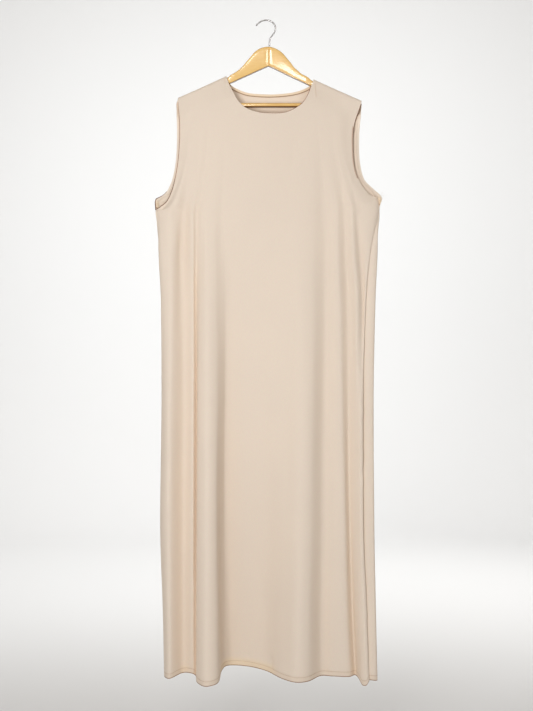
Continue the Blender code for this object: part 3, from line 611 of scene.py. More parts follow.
def wallPiece(name, outer, inner, finish):
    # closed wall between two grids of points
    rows, columns = outer.shape[:2]
    u, v = gridUv(outer)
    mesh = bmesh.new()
    uvLayer = mesh.loops.layers.uv.new("cut")
    place = {}
    layers = []
    for points in (outer, inner):
        layer = []
        for k in range(rows):
            line = []
            for j in range(columns):
                vert = mesh.verts.new(points[k, j] * mm)
                place[vert] = (u[k, j], v[k, j])
                line.append(vert)
            layer.append(line)
        layers.append(layer)
    outside, inside = layers
    for k in range(rows - 1):
        for j in range(columns - 1):
            mesh.faces.new((outside[k][j], outside[k][j + 1], outside[k + 1][j + 1], outside[k + 1][j]))
            mesh.faces.new((inside[k][j], inside[k + 1][j], inside[k + 1][j + 1], inside[k][j + 1]))
    rim = [(0, j) for j in range(columns)] + [(k, columns - 1) for k in range(1, rows)]
    rim += [(rows - 1, j) for j in range(columns - 2, -1, -1)] + [(k, 0) for k in range(rows - 2, 0, -1)]
    for (k, j), (m, n) in zip(rim, rim[1:] + rim[:1]):
        mesh.faces.new((outside[m][n], outside[k][j], inside[k][j], inside[m][n]))
    for face in mesh.faces:
        for loop in face.loops:
            loop[uvLayer].uv = place[loop.vert]
    bmesh.ops.recalc_face_normals(mesh, faces=mesh.faces)
    return pieceFrom(name, mesh, finish, 50)


def pieceFrom(name, mesh, finish, sharpAngle):
    data = bpy.data.meshes.new(name)
    mesh.to_mesh(data)
    mesh.free()
    data.shade_smooth()
    data.set_sharp_from_angle(angle=math.radians(sharpAngle))
    data.materials.append(finish)
    piece = bpy.data.objects.new(name, data)
    bpy.context.scene.collection.objects.link(piece)
    return piece


def joinRings(mesh, rings):
    for first, second in zip(rings, rings[1:]):
        for i in range(len(first)):
            j = (i + 1) % len(first)
            mesh.faces.new((first[i], first[j], second[j], second[i]))


def tubeMesh(mesh, points, radius, sides=6, closeEnds=True):
    # round thread or wire along points in millimetres
    points = np.asarray(points, float)
    runs = np.gradient(points, axis=0)
    runs /= np.maximum(np.linalg.norm(runs, axis=1), 1e-9)[:, None]
    side = np.cross(runs[0], (0.0, 0.0, 1.0))
    if np.linalg.norm(side) < 0.1:
        side = np.cross(runs[0], (0.0, 1.0, 0.0))
    rings = []
    for point, run, reach in zip(points, runs, np.broadcast_to(radius, len(points))):
        side = side - run * (side @ run)
        side /= np.linalg.norm(side)
        other = np.cross(run, side)
        ring = []
        for i in range(sides):
            turn = 2 * math.pi * i / sides
            spoke = math.cos(turn) * side + math.sin(turn) * other
            ring.append(mesh.verts.new((point + reach * spoke) * mm))
        rings.append(ring)
    joinRings(mesh, rings)
    if closeEnds:
        mesh.faces.new(rings[0][::-1])
        mesh.faces.new(rings[-1])
    return rings


# Finishes

crepe = {
    "shade": (0.775, 0.665, 0.560),        # the colour wanders between these two in soft patches
    "warm": (0.790, 0.676, 0.566),
    "roughness": 0.86,
    "gloss": 0.22,
    "sheen": 0.18,
    "sheenRoughness": 0.5,
    "sheenTint": (1.0, 0.93, 0.85, 1.0),
    "patchScale": 5.5,
    "patchRange": (0.3, 0.7),              # of the noise, from one colour to the other
    "threadScale": 520.0,
    "threadStretch": (1.0, 0.35, 1.0),
    "threadStrength": 0.10,
    "pebbleScale": 715.0,                  # crepe's pebbled face
    "pebbleHeight": 0.00022,
    "bumpStrength": 0.35,
    "weftScale": 65.0,                     # over a plain weave
    "weftShare": 0.35,
    "hollow": (1.0, 0.95, 0.89),           # painted shade: folds are darker and warmer, for light that bounces about in them
    "foldShadeReach": 0.06,
    "foldShadeRange": (0.95, 0.45),           # share of open sky where it starts and is full
    "insidePaintedLight": (1.22, 1.22, 1.22),       # painted light: the back's wrong side, which shows at the neck, is brightened
    "insideLightFrom": -0.300,               # fully so above the second height
    "insideLightFull": -0.240,
    "insideLightLeast": 0.25,
    "wrongSideFacing": (0.1, -0.4),        # Y of the faces that count as the wrong side
    "hemReach": 0.020,
    # painted shade at the folded edge and at the stitches, which are partly the thread's colour: metres
    # above the hem, tone
    "hemPaintedShades": ((0.0, (0.34, 0.23, 0.16)), (0.0013, (0.46, 0.34, 0.26)), (0.0022, (0.95, 0.935, 0.92)),
                 (0.0098, (0.95, 0.935, 0.92)), (0.0108, (0.84, 0.78, 0.73)), (0.0122, (0.97, 0.96, 0.95)),
                 (0.0160, (0.98, 0.98, 0.98))),
    "recessBandPaintedLight": (1.06, 1.03, 0.93),      # painted light: between two folds the turned band is lighter
    "recessAbove": (0.026, 0.010),
    "recessBack": (-0.055, -0.030),
}


def finishNodes(name, roughness):
    made = bpy.data.materials.new(name)
    made.use_nodes = True
    nodes = made.node_tree.nodes
    shader = nodes["Principled BSDF"]
    shader.inputs["Roughness"].default_value = roughness
    return made, nodes, made.node_tree.links, shader


def addNode(nodes, kind, **values):
    node = nodes.new(kind)
    for key, value in values.items():
        if key in node.inputs:
            node.inputs[key].default_value = value
        else:
            setattr(node, key, value)
    return node


def mixColours(nodes, links, first, second, share, way="MIX"):
    # each of the three may be a fixed value or a socket to read from
    node = nodes.new("ShaderNodeMix")
    node.data_type = "RGBA"
    node.blend_type = way
    for socket, source in ((node.inputs[6], first), (node.inputs[7], second), (node.inputs[0], share)):
        if isinstance(source, bpy.types.NodeSocket):
            links.new(source, socket)
        elif isinstance(source, tuple):
            socket.default_value = (*source, 1.0)
        else:
            socket.default_value = source
    return node.outputs[2]


def xyzPart(nodes, links, source, axis):
    parts = addNode(nodes, "ShaderNodeSeparateXYZ")
    links.new(source, parts.inputs["Vector"])
    return parts.outputs[axis]


def shareBetween(nodes, links, source, start, end, least=0.0, most=1.0, soft=False):
    # runs from least to most while the source runs from start to end
    node = addNode(nodes, "ShaderNodeMapRange", interpolation_type="SMOOTHSTEP" if soft else "LINEAR",
                   **{"From Min": start, "From Max": end, "To Min": least, "To Max": most})
    links.new(source, node.inputs["Value"])
    return node.outputs["Result"]


def calculate(nodes, links, operation, *values):
    # each value may be a fixed number or a socket to read from
    node = addNode(nodes, "ShaderNodeMath", operation=operation)
    for socket, value in zip(node.inputs, values):
        if isinstance(value, bpy.types.NodeSocket):
            links.new(value, socket)
        else:
            socket.default_value = value
    return node.outputs["Value"]


def colourRamp(nodes, links, source, stops):
    ramp = addNode(nodes, "ShaderNodeValToRGB")
    elements = ramp.color_ramp.elements
    while len(elements) < len(stops):
        elements.new(0.5)
    for element, (place, tone) in zip(elements, stops):
        element.position = place
        element.color = (*tone, 1.0)
    links.new(source, ramp.inputs["Fac"])
    return ramp.outputs["Color"]


def noiseOf(nodes, links, source, scale, detail, roughness=0.5, distortion=0.0):
    noise = addNode(nodes, "ShaderNodeTexNoise", Scale=scale, Detail=detail, Roughness=roughness,
                    Distortion=distortion)
    links.new(source, noise.inputs["Vector"])
    return noise


def stretched(nodes, links, source, scale):
    stretch = addNode(nodes, "ShaderNodeMapping", Scale=scale)
    links.new(source, stretch.inputs["Vector"])
    return stretch.outputs["Vector"]


def addBump(nodes, links, shader, height, strength, distance):
    bump = addNode(nodes, "ShaderNodeBump", Strength=strength, Distance=distance)
    links.new(height, bump.inputs["Height"])
    links.new(bump.outputs["Normal"], shader.inputs["Normal"])


def hemPaintedLightAndShade(nodes, links, cut, base):
    # painted shade along the folded edge of the hem and at the line of stitches, which is partly the
    # thread's colour; the turned band above it a little paler; V runs up from the hem
    above = xyzPart(nodes, links, cut, "Y")
    scaled = shareBetween(nodes, links, above, 0.0, crepe["hemReach"])
    stops = [(place / crepe["hemReach"], tone) for place, tone in crepe["hemPaintedShades"]]
    toned = mixColours(nodes, links, base, colourRamp(nodes, links, scaled, stops), 1.0, "MULTIPLY")

    # painted light: the band widens and lightens where the cloth lies back between two folds
    spot = addNode(nodes, "ShaderNodeTexCoord").outputs["Object"]
    near = shareBetween(nodes, links, above, *crepe["recessAbove"], soft=True)
    back = shareBetween(nodes, links, xyzPart(nodes, links, spot, "Y"), *crepe["recessBack"], soft=True)
    both = calculate(nodes, links, "MULTIPLY", near, back)
    return mixColours(nodes, links, toned, crepe["recessBandPaintedLight"], both, "MULTIPLY")


def paintInsideLight(nodes, links, base):
    # painted light: the faces of the back's wrong side look forwards, and they are brightened most at the
    # neck
    facing = addNode(nodes, "ShaderNodeNewGeometry").outputs["True Normal"]
    spot = addNode(nodes, "ShaderNodeTexCoord").outputs["Object"]
    inside = shareBetween(nodes, links, xyzPart(nodes, links, facing, "Y"), *crepe["wrongSideFacing"],
                          soft=True)
    high = shareBetween(nodes, links, xyzPart(nodes, links, spot, "Z"), crepe["insideLightFrom"],
                        crepe["insideLightFull"], crepe["insideLightLeast"], soft=True)
    both = calculate(nodes, links, "MULTIPLY", inside, high)
    return mixColours(nodes, links, base, crepe["insidePaintedLight"], both, "MULTIPLY")


def makeCrepe(name, tint=1.0, paintedInsideLight=False):
    made, nodes, links, shader = finishNodes(name, crepe["roughness"])
    shader.inputs["Sheen Weight"].default_value = crepe["sheen"]
    shader.inputs["Sheen Roughness"].default_value = crepe["sheenRoughness"]
    shader.inputs["Sheen Tint"].default_value = crepe["sheenTint"]
    shader.inputs["Specular IOR Level"].default_value = crepe["gloss"]
    cut = addNode(nodes, "ShaderNodeUVMap", uv_map="cut").outputs["UV"]
    spot = addNode(nodes, "ShaderNodeTexCoord").outputs["Object"]

    # colour wanders a little over the panel, and more finely from thread to thread
    patches = noiseOf(nodes, links, spot, crepe["patchScale"], detail=3.0)
    blend = mixColours(nodes, links, tuple(value * tint for value in crepe["shade"]),
                       tuple(value * tint for value in crepe["warm"]),
                       shareBetween(nodes, links, patches.outputs["Fac"], *crepe["patchRange"]))
    alongThreads = stretched(nodes, links, cut, crepe["threadStretch"])
    threads = noiseOf(nodes, links, alongThreads, crepe["threadScale"], detail=2.0, roughness=0.6)
    speck = mixColours(nodes, links, blend, threads.outputs["Color"], crepe["threadStrength"], "MULTIPLY")
    toned = hemPaintedLightAndShade(nodes, links, cut, speck)
    # painted shade: darker and warmer where ambient occlusion finds a fold
    hollow = addNode(nodes, "ShaderNodeAmbientOcclusion", Distance=crepe["foldShadeReach"])
    hollow.samples = 6
    depth = shareBetween(nodes, links, hollow.outputs["AO"], *crepe["foldShadeRange"])
    warmed = mixColours(nodes, links, toned, crepe["hollow"], depth, "MULTIPLY")
    if paintedInsideLight:
        warmed = paintInsideLight(nodes, links, warmed)
    links.new(warmed, shader.inputs["Base Color"])

    pebble = noiseOf(nodes, links, cut, crepe["pebbleScale"], detail=2.0, roughness=0.55)
    weft = addNode(nodes, "ShaderNodeTexWave", Scale=crepe["weftScale"], Distortion=1.5, Detail=1.0)
    weft.bands_direction = "Y"
    links.new(cut, weft.inputs["Vector"])
    weave = calculate(nodes, links, "MULTIPLY", weft.outputs["Fac"], crepe["weftShare"])
    raised = calculate(nodes, links, "ADD", pebble.outputs["Fac"], weave)
    addBump(nodes, links, shader, raised, crepe["bumpStrength"], crepe["pebbleHeight"])
    return made


thread = {
    "roughness": 0.7,
    "twistScale": 420.0,
    "twistShade": 0.82,                    # painted shade: the hollows of the twist are darker
    "matching": (0.56, 0.43, 0.33),
    # the overlock colour also draws painted shadow lines along the front neck and the upper left armhole
    "overlock": (0.400, 0.200, 0.125),
    # partly thread and partly painted shadow along the armhole edges
    "edge": (0.190, 0.078, 0.040),
    "loose": (0.70, 0.61, 0.52),
}


def makeThread(name, colour):
    made, nodes, links, shader = finishNodes(name, thread["roughness"])
    spot = addNode(nodes, "ShaderNodeTexCoord")
    twist = addNode(nodes, "ShaderNodeTexWave", Scale=thread["twistScale"], Distortion=2.0, Detail=1.0)
    twist.bands_direction = "DIAGONAL"
    links.new(spot.outputs["Object"], twist.inputs["Vector"])
    shade = tuple(value * thread["twistShade"] for value in colour)
    blend = mixColours(nodes, links, shade, colour, twist.outputs["Fac"])
    links.new(blend, shader.inputs["Base Color"])
    return made


crepeFinish = makeCrepe("beigeCrepe")
# the back and the turned edges are copies with painted light on their wrong side at the neck
backCrepeFinish = makeCrepe("beigeCrepeBackLitInside", paintedInsideLight=True)
turnedFinish = makeCrepe("beigeCrepeTurnedLitInside", tint=0.97, paintedInsideLight=True)
threadFinish = makeThread("matchingThread", thread["matching"])
overlockAndShadeFinish = makeThread("overlockThreadAndShade", thread["overlock"])
edgeThreadAndShadowFinish = makeThread("edgeThreadAndShadow", thread["edge"])
looseFinish = makeThread("looseThread", thread["loose"])
print("finishes of cloth and thread made")


# The garment

def rollSeams(grid, normals):
    # at the side seams the cloth turns in over its last few millimetres
    belowArm = smoothStep((cloth["seamRollFrom"] - grid[:, :, 2]) / cloth["seamRollFade"])
    around = gridLengths(grid, 1)
    for end in (0, -1):
        away = np.abs(around - around[:, [end]])
        inward = cloth["seamRoll"] * np.clip(1 - away / cloth["seamRollReach"], 0, 1) ** 2 * belowArm
        grid += normals * inward[:, :, None]


def shareSeams(front, back, frontIn, backIn):
    # front and back meet along the middle of the side seams, and on the hanger's middle at the shoulders
    gap = cloth["seamGap"]
    seamRows = bodyRowCount + yoke["finer"]
    for column, beside, toward in ((0, 1, 1), (-1, -2, -1)):
        for k in range(seamRows):
            middle = (front[k, column] + back[k, column]) / 2
            run = front[k, beside] - back[k, beside]
            run[2] = 0.0
            run /= np.linalg.norm(run)
            inward = np.array([-run[1], run[0], 0.0]) * toward
            frontIn[k, column] = inward
            backIn[k, column] = inward
            front[k, column] = middle + run * gap / 2
            back[k, column] = middle - run * gap / 2
    for grid, normals, shape in ((front, frontIn, frontPanelShape), (back, backIn, backPanelShape)):
        neckLeft, neckRight = neckColumns(shape)
        for column in list(range(neckLeft + 1)) + list(range(neckRight, grid.shape[1])):
            normals[-1, column] = (0.0, 0.0, -1.0)
            grid[-1, column, 1] = armDepth(grid[-1, column, 0]) + shape["side"] * gap / 2


def turnedEdge(name, grid, normals, rows, columns, finish):
    part = grid[rows, columns]
    inward = normals[rows, columns]
    start = cloth["turnGap"]
    return wallPiece(name, part + inward * start, part + inward * (start + cloth["turnThickness"]), finish)


bodyRowCount = len(bodyHeights())
topRows = len(yoke["overArm"])
frontGrid = panelGrid(frontPanelShape)
backGrid = panelGrid(backPanelShape)
frontIn = gridNormals(frontGrid, -1)
backIn = gridNormals(backGrid, 1)
for panel, normals, shape, creases in ((frontGrid, frontIn, frontPanelShape, frontCreases),
                                       (backGrid, backIn, backPanelShape, backCreases)):
    panel -= normals * reliefOf(panel, shape, creases)[:, :, None]
    rollSeams(panel, normals)
shareSeams(frontGrid, backGrid, frontIn, backIn)
frontIn = gridNormals(frontGrid, -1)
backIn = gridNormals(backGrid, 1)
shareSeams(frontGrid, backGrid, frontIn, backIn)
frontPanel = wallPiece("frontPanel", frontGrid, frontGrid + frontIn * cloth["thickness"], crepeFinish)
backPanel = wallPiece("backPanel", backGrid, backGrid + backIn * cloth["thickness"], backCrepeFinish)
print("panels made:", len(frontPanel.data.polygons) + len(backPanel.data.polygons), "faces")

turned = {}
for side, grid, normals, shape, neckStrips in (("front", frontGrid, frontIn, frontPanelShape, 2),
                                               ("back", backGrid, backIn, backPanelShape, 1)):
    strip = shape["finer"]
    rowCount, columnCount = grid.shape[:2]
    neckLeft, neckRight = neckColumns(shape)
    hemRows = slice(0, cloth["hemRows"].index(cloth["hemTurn"]) + 1)
    neckRows = slice(rowCount - topRows - 1, rowCount)
    armRows = slice(bodyRowCount + yoke["finer"], rowCount - topRows)
    for name, rows, columns in (
            ("HemTurn", hemRows, slice(strip, columnCount - strip)),
            ("NeckTurn", neckRows, slice(neckLeft + neckStrips * strip, neckRight - neckStrips * strip + 1)),
            ("LeftArmholeTurn", armRows, slice(0, strip + 1)),
            ("RightArmholeTurn", armRows, slice(columnCount - strip - 1, columnCount))):
        turned[side + name] = turnedEdge(side + name, grid, normals, rows, columns, turnedFinish)
print("turned edges made:", len(turned))

stitching = {
    "pitch": 3.4,
    "length": 2.3,
    "radius": 0.22,
    "first": 0.2,                # where the first one starts, as a share of the pitch
    # share of a stitch, height over the cloth
    "profile": ((0.0, -0.15), (0.12, 0.10), (0.5, 0.20), (0.88, 0.10), (1.0, -0.15)),
    "overlockPitch": 5.2,
    "overlockRadius": 0.52,
    "overlockBite": 2.2,
    "overlockPast": 0.25,        # how far it stands out past the edge
    "overlockZigzag": ((0.0, False, 0.35), (0.35, True, 0.30), (0.65, True, 0.30)),   # place, inside, lift
    "looseRadius": (0.26, 0.16),
    # the loose ends beside the right underarm: where each bends and where it ends, from its start
    "looseEnds": (((5, -4, 3), (9, -6, 9)), ((7, -3, -2), (10, -5, -9)),
                  ((3, -5, -6), (7, -7, -14)), ((6, -4, 1), (12, -4, 1))),
}


def stitchLine(mesh, line, outward):
    # short stitches that follow a line on the cloth
    lengths = lengthsAlong(line)
    count = int(lengths[-1] / stitching["pitch"])
    shares, heights = np.array(stitching["profile"]).T
    for i in range(count):
        start = (i + stitching["first"]) * lengths[-1] / count
        places = start + stitching["length"] * shares
        points = np.stack([np.interp(places, lengths, line[:, axis]) for axis in range(3)], axis=1)
        lifts = np.stack([np.interp(places, lengths, outward[:, axis]) for axis in range(3)], axis=1)
        tubeMesh(mesh, points + lifts * heights[:, None], stitching["radius"], 5)


def rowAt(grid, height):
    # a line along the cloth at this height above the hem
    near = grid[:14]
    line = []
    for j in range(grid.shape[1]):
        above = near[:, j, 2] - near[0, j, 2]
        line.append([np.interp(height, above, near[:, j, axis]) for axis in range(3)])
    return np.array(line)


def hemStitches(name, grid, normals):
    mesh = bmesh.new()
    stitchLine(mesh, rowAt(grid, cloth["hemTurn"]), -normals[cloth["hemRows"].index(cloth["hemTurn"])])
    return pieceFrom(name, mesh, threadFinish, 60)


def overlockEdge(name, edge, inside, outward, finish):
    # overlock thread wraps the raw edge in a zigzag
    lengths = lengthsAlong(edge)
    count = int(lengths[-1] / stitching["overlockPitch"])
    points = []
    for i in range(count):
        for share, isInside, lift in stitching["overlockZigzag"]:
            place = (i + share) * lengths[-1] / count
            a, b, n = [np.array([np.interp(place, lengths, source[:, axis]) for axis in range(3)])
                       for source in (edge, inside, outward)]
            run = (b - a) / max(np.linalg.norm(b - a), 1e-6)
            bite = stitching["overlockBite"] if isInside else -stitching["overlockPast"]
            points.append(a + run * bite + n * lift)
    mesh = bmesh.new()
    tubeMesh(mesh, points, stitching["overlockRadius"], 5)
    return pieceFrom(name, mesh, finish, 60)


def edgeThreadAndShadow(name, edge, inside, inward, radii, finish, depth=0.35):
    # one dark thread along the very edge of the cloth, partly thread and partly a painted shadow line; it
    # may taper from one end to the other
    outward = edge - inside
    outward /= np.maximum(np.linalg.norm(outward, axis=1), 1e-9)[:, None]
    radius = np.linspace(radii[0], radii[1], len(edge))
    mesh = bmesh.new()
    tubeMesh(mesh, edge + outward * (radius * 0.55)[:, None] + inward * depth, radius, 6)
    return pieceFrom(name, mesh, finish, 60)


def looseThreads(name, start, finish):
    # short loose ends of thread that curl out of the top of a seam
    mesh = bmesh.new()
    for bend, end in stitching["looseEnds"]:
        line = flowingLine([start, start + np.array(bend), start + np.array(end)], [6, 6])
        tubeMesh(mesh, line, np.linspace(*stitching["looseRadius"], len(line)), 5)
    return pieceFrom(name, mesh, finish, 60)


def edgeStitches(name, line, inward, depth, finish):
    mesh = bmesh.new()
    stitchLine(mesh, line + inward * depth, inward)
    return pieceFrom(name, mesh, finish, 60)


def armholeRows(fromPoint, toPoint):
    # rows of the grid between two points of the armhole tables
    start = bodyRowCount - 1
    return slice(int(start + fromPoint * yoke["finer"]), int(start + toPoint * yoke["finer"]) + 1)


# armhole points, counted up from the bottom
seamTop = 1                                      # where the side seam ends
steepFrom = 4.6                                  # where the armhole's edge grows steep
shoulderTip = len(yoke["rise"]) - 1
wholeEdge = armholeRows(seamTop, shoulderTip)
lowerEdge = armholeRows(seamTop, steepFrom)
upperEdge = armholeRows(steepFrom, shoulderTip)
zigzagEdge = armholeRows(4.5, 7)
tipEdge = armholeRows(6.8, shoulderTip)
cornerEdge = armholeRows(seamTop, 4.2)
insideTurn = cloth["turnGap"] + cloth["turnThickness"] + 0.2
neckRow = frontGrid.shape[0] - topRows - 1
frontNeckLeft, frontNeckRight = neckColumns(frontPanelShape)
backNeckLeft, backNeckRight = neckColumns(backPanelShape)
frontNeckMiddle = (frontNeckLeft + frontNeckRight) // 2
neckShadowSpan = slice(frontNeckMiddle - 4, frontNeckRight - 5)      # right of the middle of the front neck
neckStitches = slice(backNeckLeft + 6, backNeckRight - 5)
looseStart = (frontGrid[wholeEdge.start + 6, -1] + backGrid[wholeEdge.start + 8, -1]) / 2
sewing = {
    "front": [
        hemStitches("frontHemStitches", frontGrid, frontIn),
        # the dark threads along the armhole and neck edges are partly thread and partly painted shadow lines
        edgeThreadAndShadow("leftArmholeEdgeThreadAndShadow", frontGrid[lowerEdge, 0], frontGrid[lowerEdge, 2],
                   frontIn[lowerEdge, 1], (1.15, 0.85), edgeThreadAndShadowFinish),
        edgeThreadAndShadow("leftArmholeUpperThreadAndShadow", frontGrid[upperEdge, 0], frontGrid[upperEdge, 2],
                   frontIn[upperEdge, 1], (0.85, 0.50), overlockAndShadeFinish),
        overlockEdge("rightArmholeOverlock", frontGrid[zigzagEdge, -1], frontGrid[zigzagEdge, -3],
                     -frontIn[zigzagEdge, -2], overlockAndShadeFinish),
        edgeThreadAndShadow("rightArmholeEdgeThreadAndShadow", frontGrid[tipEdge, -1], frontGrid[tipEdge, -3],
                   frontIn[tipEdge, -2], (0.65, 0.95), edgeThreadAndShadowFinish),
        edgeThreadAndShadow("neckEdgeThreadAndShadow", frontGrid[-1, neckShadowSpan], frontGrid[-4, neckShadowSpan],
                   frontIn[-1, neckShadowSpan], (0.45, 0.80), overlockAndShadeFinish),
        looseThreads("looseThreads", looseStart, looseFinish),
    ],
    "back": [
        hemStitches("backHemStitches", backGrid, backIn),
        edgeThreadAndShadow("backLeftArmholeEdgeThreadAndShadow", backGrid[cornerEdge, 0], backGrid[cornerEdge, 2],
                   backIn[cornerEdge, 1], (1.10, 0.80), edgeThreadAndShadowFinish, 1.3),
        edgeStitches("backLeftArmholeStitches", backGrid[wholeEdge, 3], backIn[wholeEdge, 3], insideTurn,
                     threadFinish),
        edgeStitches("backRightArmholeStitches", backGrid[wholeEdge, -4], backIn[wholeEdge, -4], insideTurn,
                     threadFinish),
        edgeStitches("backNeckStitches", backGrid[neckRow, neckStitches], backIn[neckRow, neckStitches],
                     insideTurn, threadFinish),
    ],
}
print("stitches made")


# The hanger

wood = {
    # place in the figure, colour
    "tones": ((0.25, (0.670, 0.370, 0.080)), (0.5, (0.800, 0.500, 0.145)), (0.72, (0.840, 0.560, 0.195))),
    "under": (0.150, 0.048, 0.018),        # painted shade: the flat undersides, which face down, are dark
    "rim": (0.640, 0.320, 0.080),          # darker and more orange where the faces along the top edges turn up
    # where each of the two starts and is full, by how much the surface faces up, and its greatest share
    "underFacing": (-0.28, -0.65, 0.94),
    "rimFacing": (0.45, 0.95, 0.75),
    "roughness": 0.30,
    "lacquer": 0.9,
    "lacquerRoughness": 0.10,
    "topCorner": 4.4,
    "underCorner": 1.6,
    "crown": 0.45,               # how far the faces bulge between their corners
    "crownHeight": 46.0,         # on a section as high as this, and less on a lower one
    "joint": 7.2,                # across, where the two halves are glued
    "jointLeft": (1.7, 11.5),    # how far the face falls back, over what distance
    "jointRight": (0.5, 8.0),
    "jointGroove": 0.5,
    # from the joint, close together at the groove
    "jointRows": (-11.5, -10, -8.5, -7, -5.5, -4.5, -3.5, -2.6, -1.8, -1.1, -0.7, -0.4, -0.2, 0,
                  0.2, 0.4, 0.7, 1.1, 1.8, 2.6, 3.5, 4.5, 6.0),
    "grain": (1.0, 9.0, 9.0),    # runs across, along the arms
    "grainScale": 26.0,
    "fineScale": 95.0,
    "broadScale": 9.0,
    "figure": (0.40, 0.35, 0.25),          # shares of the grain, the fine and the broad figure
    "bumpStrength": 0.12,
    "bumpHeight": 0.0002,
}
underSeam = 2.8
# across, top edge (a positive number is the distance under the shoulder seam), underside, half thickness
armSections = (
    (-197, underSeam + 8, -207, 3.2), (-194.5, underSeam + 2.5, -212, 5.0), (-188, underSeam, -215, 5.3),
    (-173.2, underSeam, -215, 5.3), (-172, underSeam, -193, 5.3), (-130, underSeam, -173, 5.3),
    (-95, underSeam + 2, -156, 5.3), (-90, -136.5, -154, 5.3), (-84, -131, -151, 5.7), (-77, -127, -148, 6),
    (-67, -120, -143, 6), (-58, -112, -138.5, 6), (-48, -100, -134, 6), (-38, -88, -129.5, 6),
    (-29, -77, -125, 6), (-19, -69, -120.5, 6), (-7, -64, -115, 6), (6, -62, -109.5, 6), (19, -65, -115, 6),
    (31, -71, -121, 6), (41, -79, -126, 6), (50, -90, -130.5, 6), (60, -102, -135.5, 6), (67, -112, -139, 6),
    (77, -121, -143.5, 6), (86, -129, -148, 6), (96, -134, -153, 6), (102, -138, -156, 5.7),
    (109, -144.5, -159, 5.3), (114, underSeam + 2, -162, 5.3), (150, underSeam, -179, 5.3),
    (192, underSeam, -199, 5.3), (193.2, underSeam, -216, 5.3), (207, underSeam, -216, 5.3),
    (213, underSeam + 2.5, -214, 5.0), (215.5, underSeam + 7, -209, 3.2),
)
bar = {
    "radius": 5.4,
    "forward": 17.0,
    "down": 206.7,
    "from": -171.7,
    "to": 191.7,
    "tenon": 3.4,                # radius of the round tenon in each arm
    "tenonTip": 2.9,
    "tenonLength": 9.0,
    "sides": 48,
    "chamfer": ((0.0, 0.8), (0.3, 0.25), (0.9, 0.0)),    # in from the shoulder, off the radius
}
wire = {
    "radius": 1.75,
    # painted reflection: the steel's colour is darkened to stand in for the dark surroundings it reflects
    "colour": (0.36, 0.35, 0.345),
    "colourRange": (0.8, 1.2),   # darker and lighter along the drawn marks
    "roughness": 0.24,
    "roughnessRange": (0.18, 0.34),
    "drawnScale": 700.0,         # marks from drawing the wire
    "tipAngles": (25, 50, 72),   # degrees of the rings that round off the free end
    "tipLength": 0.8,            # of the radius
    "route": ((-23.5, -11.5), (-18.5, -5.6), (-10.5, -0.6), (0, 1.75), (10, -0.2), (18, -6), (22.6, -14.5),
              (21.9, -24), (17.5, -32), (12, -39), (9, -47), (8.4, -56), (8.4, -66)),
}


def armRing(across, top, under, half):
    # section of an arm: well rounded above, crisper below, faces slightly crowned
    middle = armDepth(across)
    away = abs(across - wood["joint"])
    fall, reach = wood["jointLeft"] if across < wood["joint"] else wood["jointRight"]
    half -= fall * max(0.0, 1 - away / reach) ** 2
    half -= wood["jointGroove"] * math.exp(-(away / 0.5) ** 2)
    height = top - under
    upper = min(wood["topCorner"], half * 0.85, height * 0.4)
    lower = min(wood["underCorner"], height * 0.2)
    crown = min(wood["crown"] * height / wood["crownHeight"], half * 0.1)
    ring = []

    def corner(centreY, centreZ, radius, start):
        for i in range(6):
            turn = math.radians(start + 90 * i / 5)
            ring.append((centreY + radius * math.cos(turn), centreZ + radius * math.sin(turn)))

    def face(side, fromZ, toZ):
        for i in range(1, 5):
            share = i / 5
            out = half - crown + crown * math.sin(math.pi * share)
            ring.append((side * out, fromZ + (toZ - fromZ) * share))

    flat = half - crown
    corner(flat - upper, top - upper, upper, 0)
    corner(upper - flat, top - upper, upper, 90)
    face(-1, top - upper, under + lower)
    corner(lower - flat, under + lower, lower, 180)
    corner(flat - lower, under + lower, lower, 270)
    face(1, under + lower, top - upper)
    return [np.array([across, middle + y, z]) for y, z in ring]


def closedSolid(name, mesh, rings, finish, sharpAngle):
    # skin over the rings with a flat face at each end
    joinRings(mesh, rings)
    mesh.faces.new(rings[0])
    mesh.faces.new(rings[-1])
    bmesh.ops.recalc_face_normals(mesh, faces=mesh.faces)
    return pieceFrom(name, mesh, finish, sharpAngle)


def makeWood(finish):
    stations, tops, unders, halves = np.array(armSections, float).T
    tops = np.where(tops > 0, shoulderHeight(stations) - tops, tops)
    near = [wood["joint"] + step for step in wood["jointRows"]]
    places = sorted(set(list(stations) + list(np.arange(-93.0, 113.0, 2.5)) + near))
    mesh = bmesh.new()
    rings = []
    for across in places:
        top = float(steadyCurve(stations, tops, across))
        under = float(np.interp(across, stations, unders))
        half = float(np.interp(across, stations, halves))
        rings.append([mesh.verts.new(point * mm) for point in armRing(across, top, under, half)])
    return closedSolid("hangerArms", mesh, rings, finish, 42)


def makeBar(finish):
    tenon, length = bar["tenon"], bar["tenonLength"]
    profile = [(bar["from"] - length, bar["tenonTip"]), (bar["from"] - length + 1, tenon)]
    profile += [(bar["from"], tenon)]
    profile += [(bar["from"] + step, bar["radius"] - less) for step, less in bar["chamfer"]]
    profile += [(bar["to"] - step, bar["radius"] - less) for step, less in bar["chamfer"][::-1]]
    profile += [(bar["to"], tenon), (bar["to"] + length - 1, tenon), (bar["to"] + length, bar["tenonTip"])]
    mesh = bmesh.new()
    rings = []
    for across, radius in profile:
        ring = []
        for i in range(bar["sides"]):
            turn = 2 * math.pi * i / bar["sides"]
            ring.append(mesh.verts.new((across * mm, (radius * math.cos(turn) - bar["forward"]) * mm,
                                        (radius * math.sin(turn) - bar["down"]) * mm)))
        rings.append(ring)
    return closedSolid("trouserBar", mesh, rings, finish, 40)


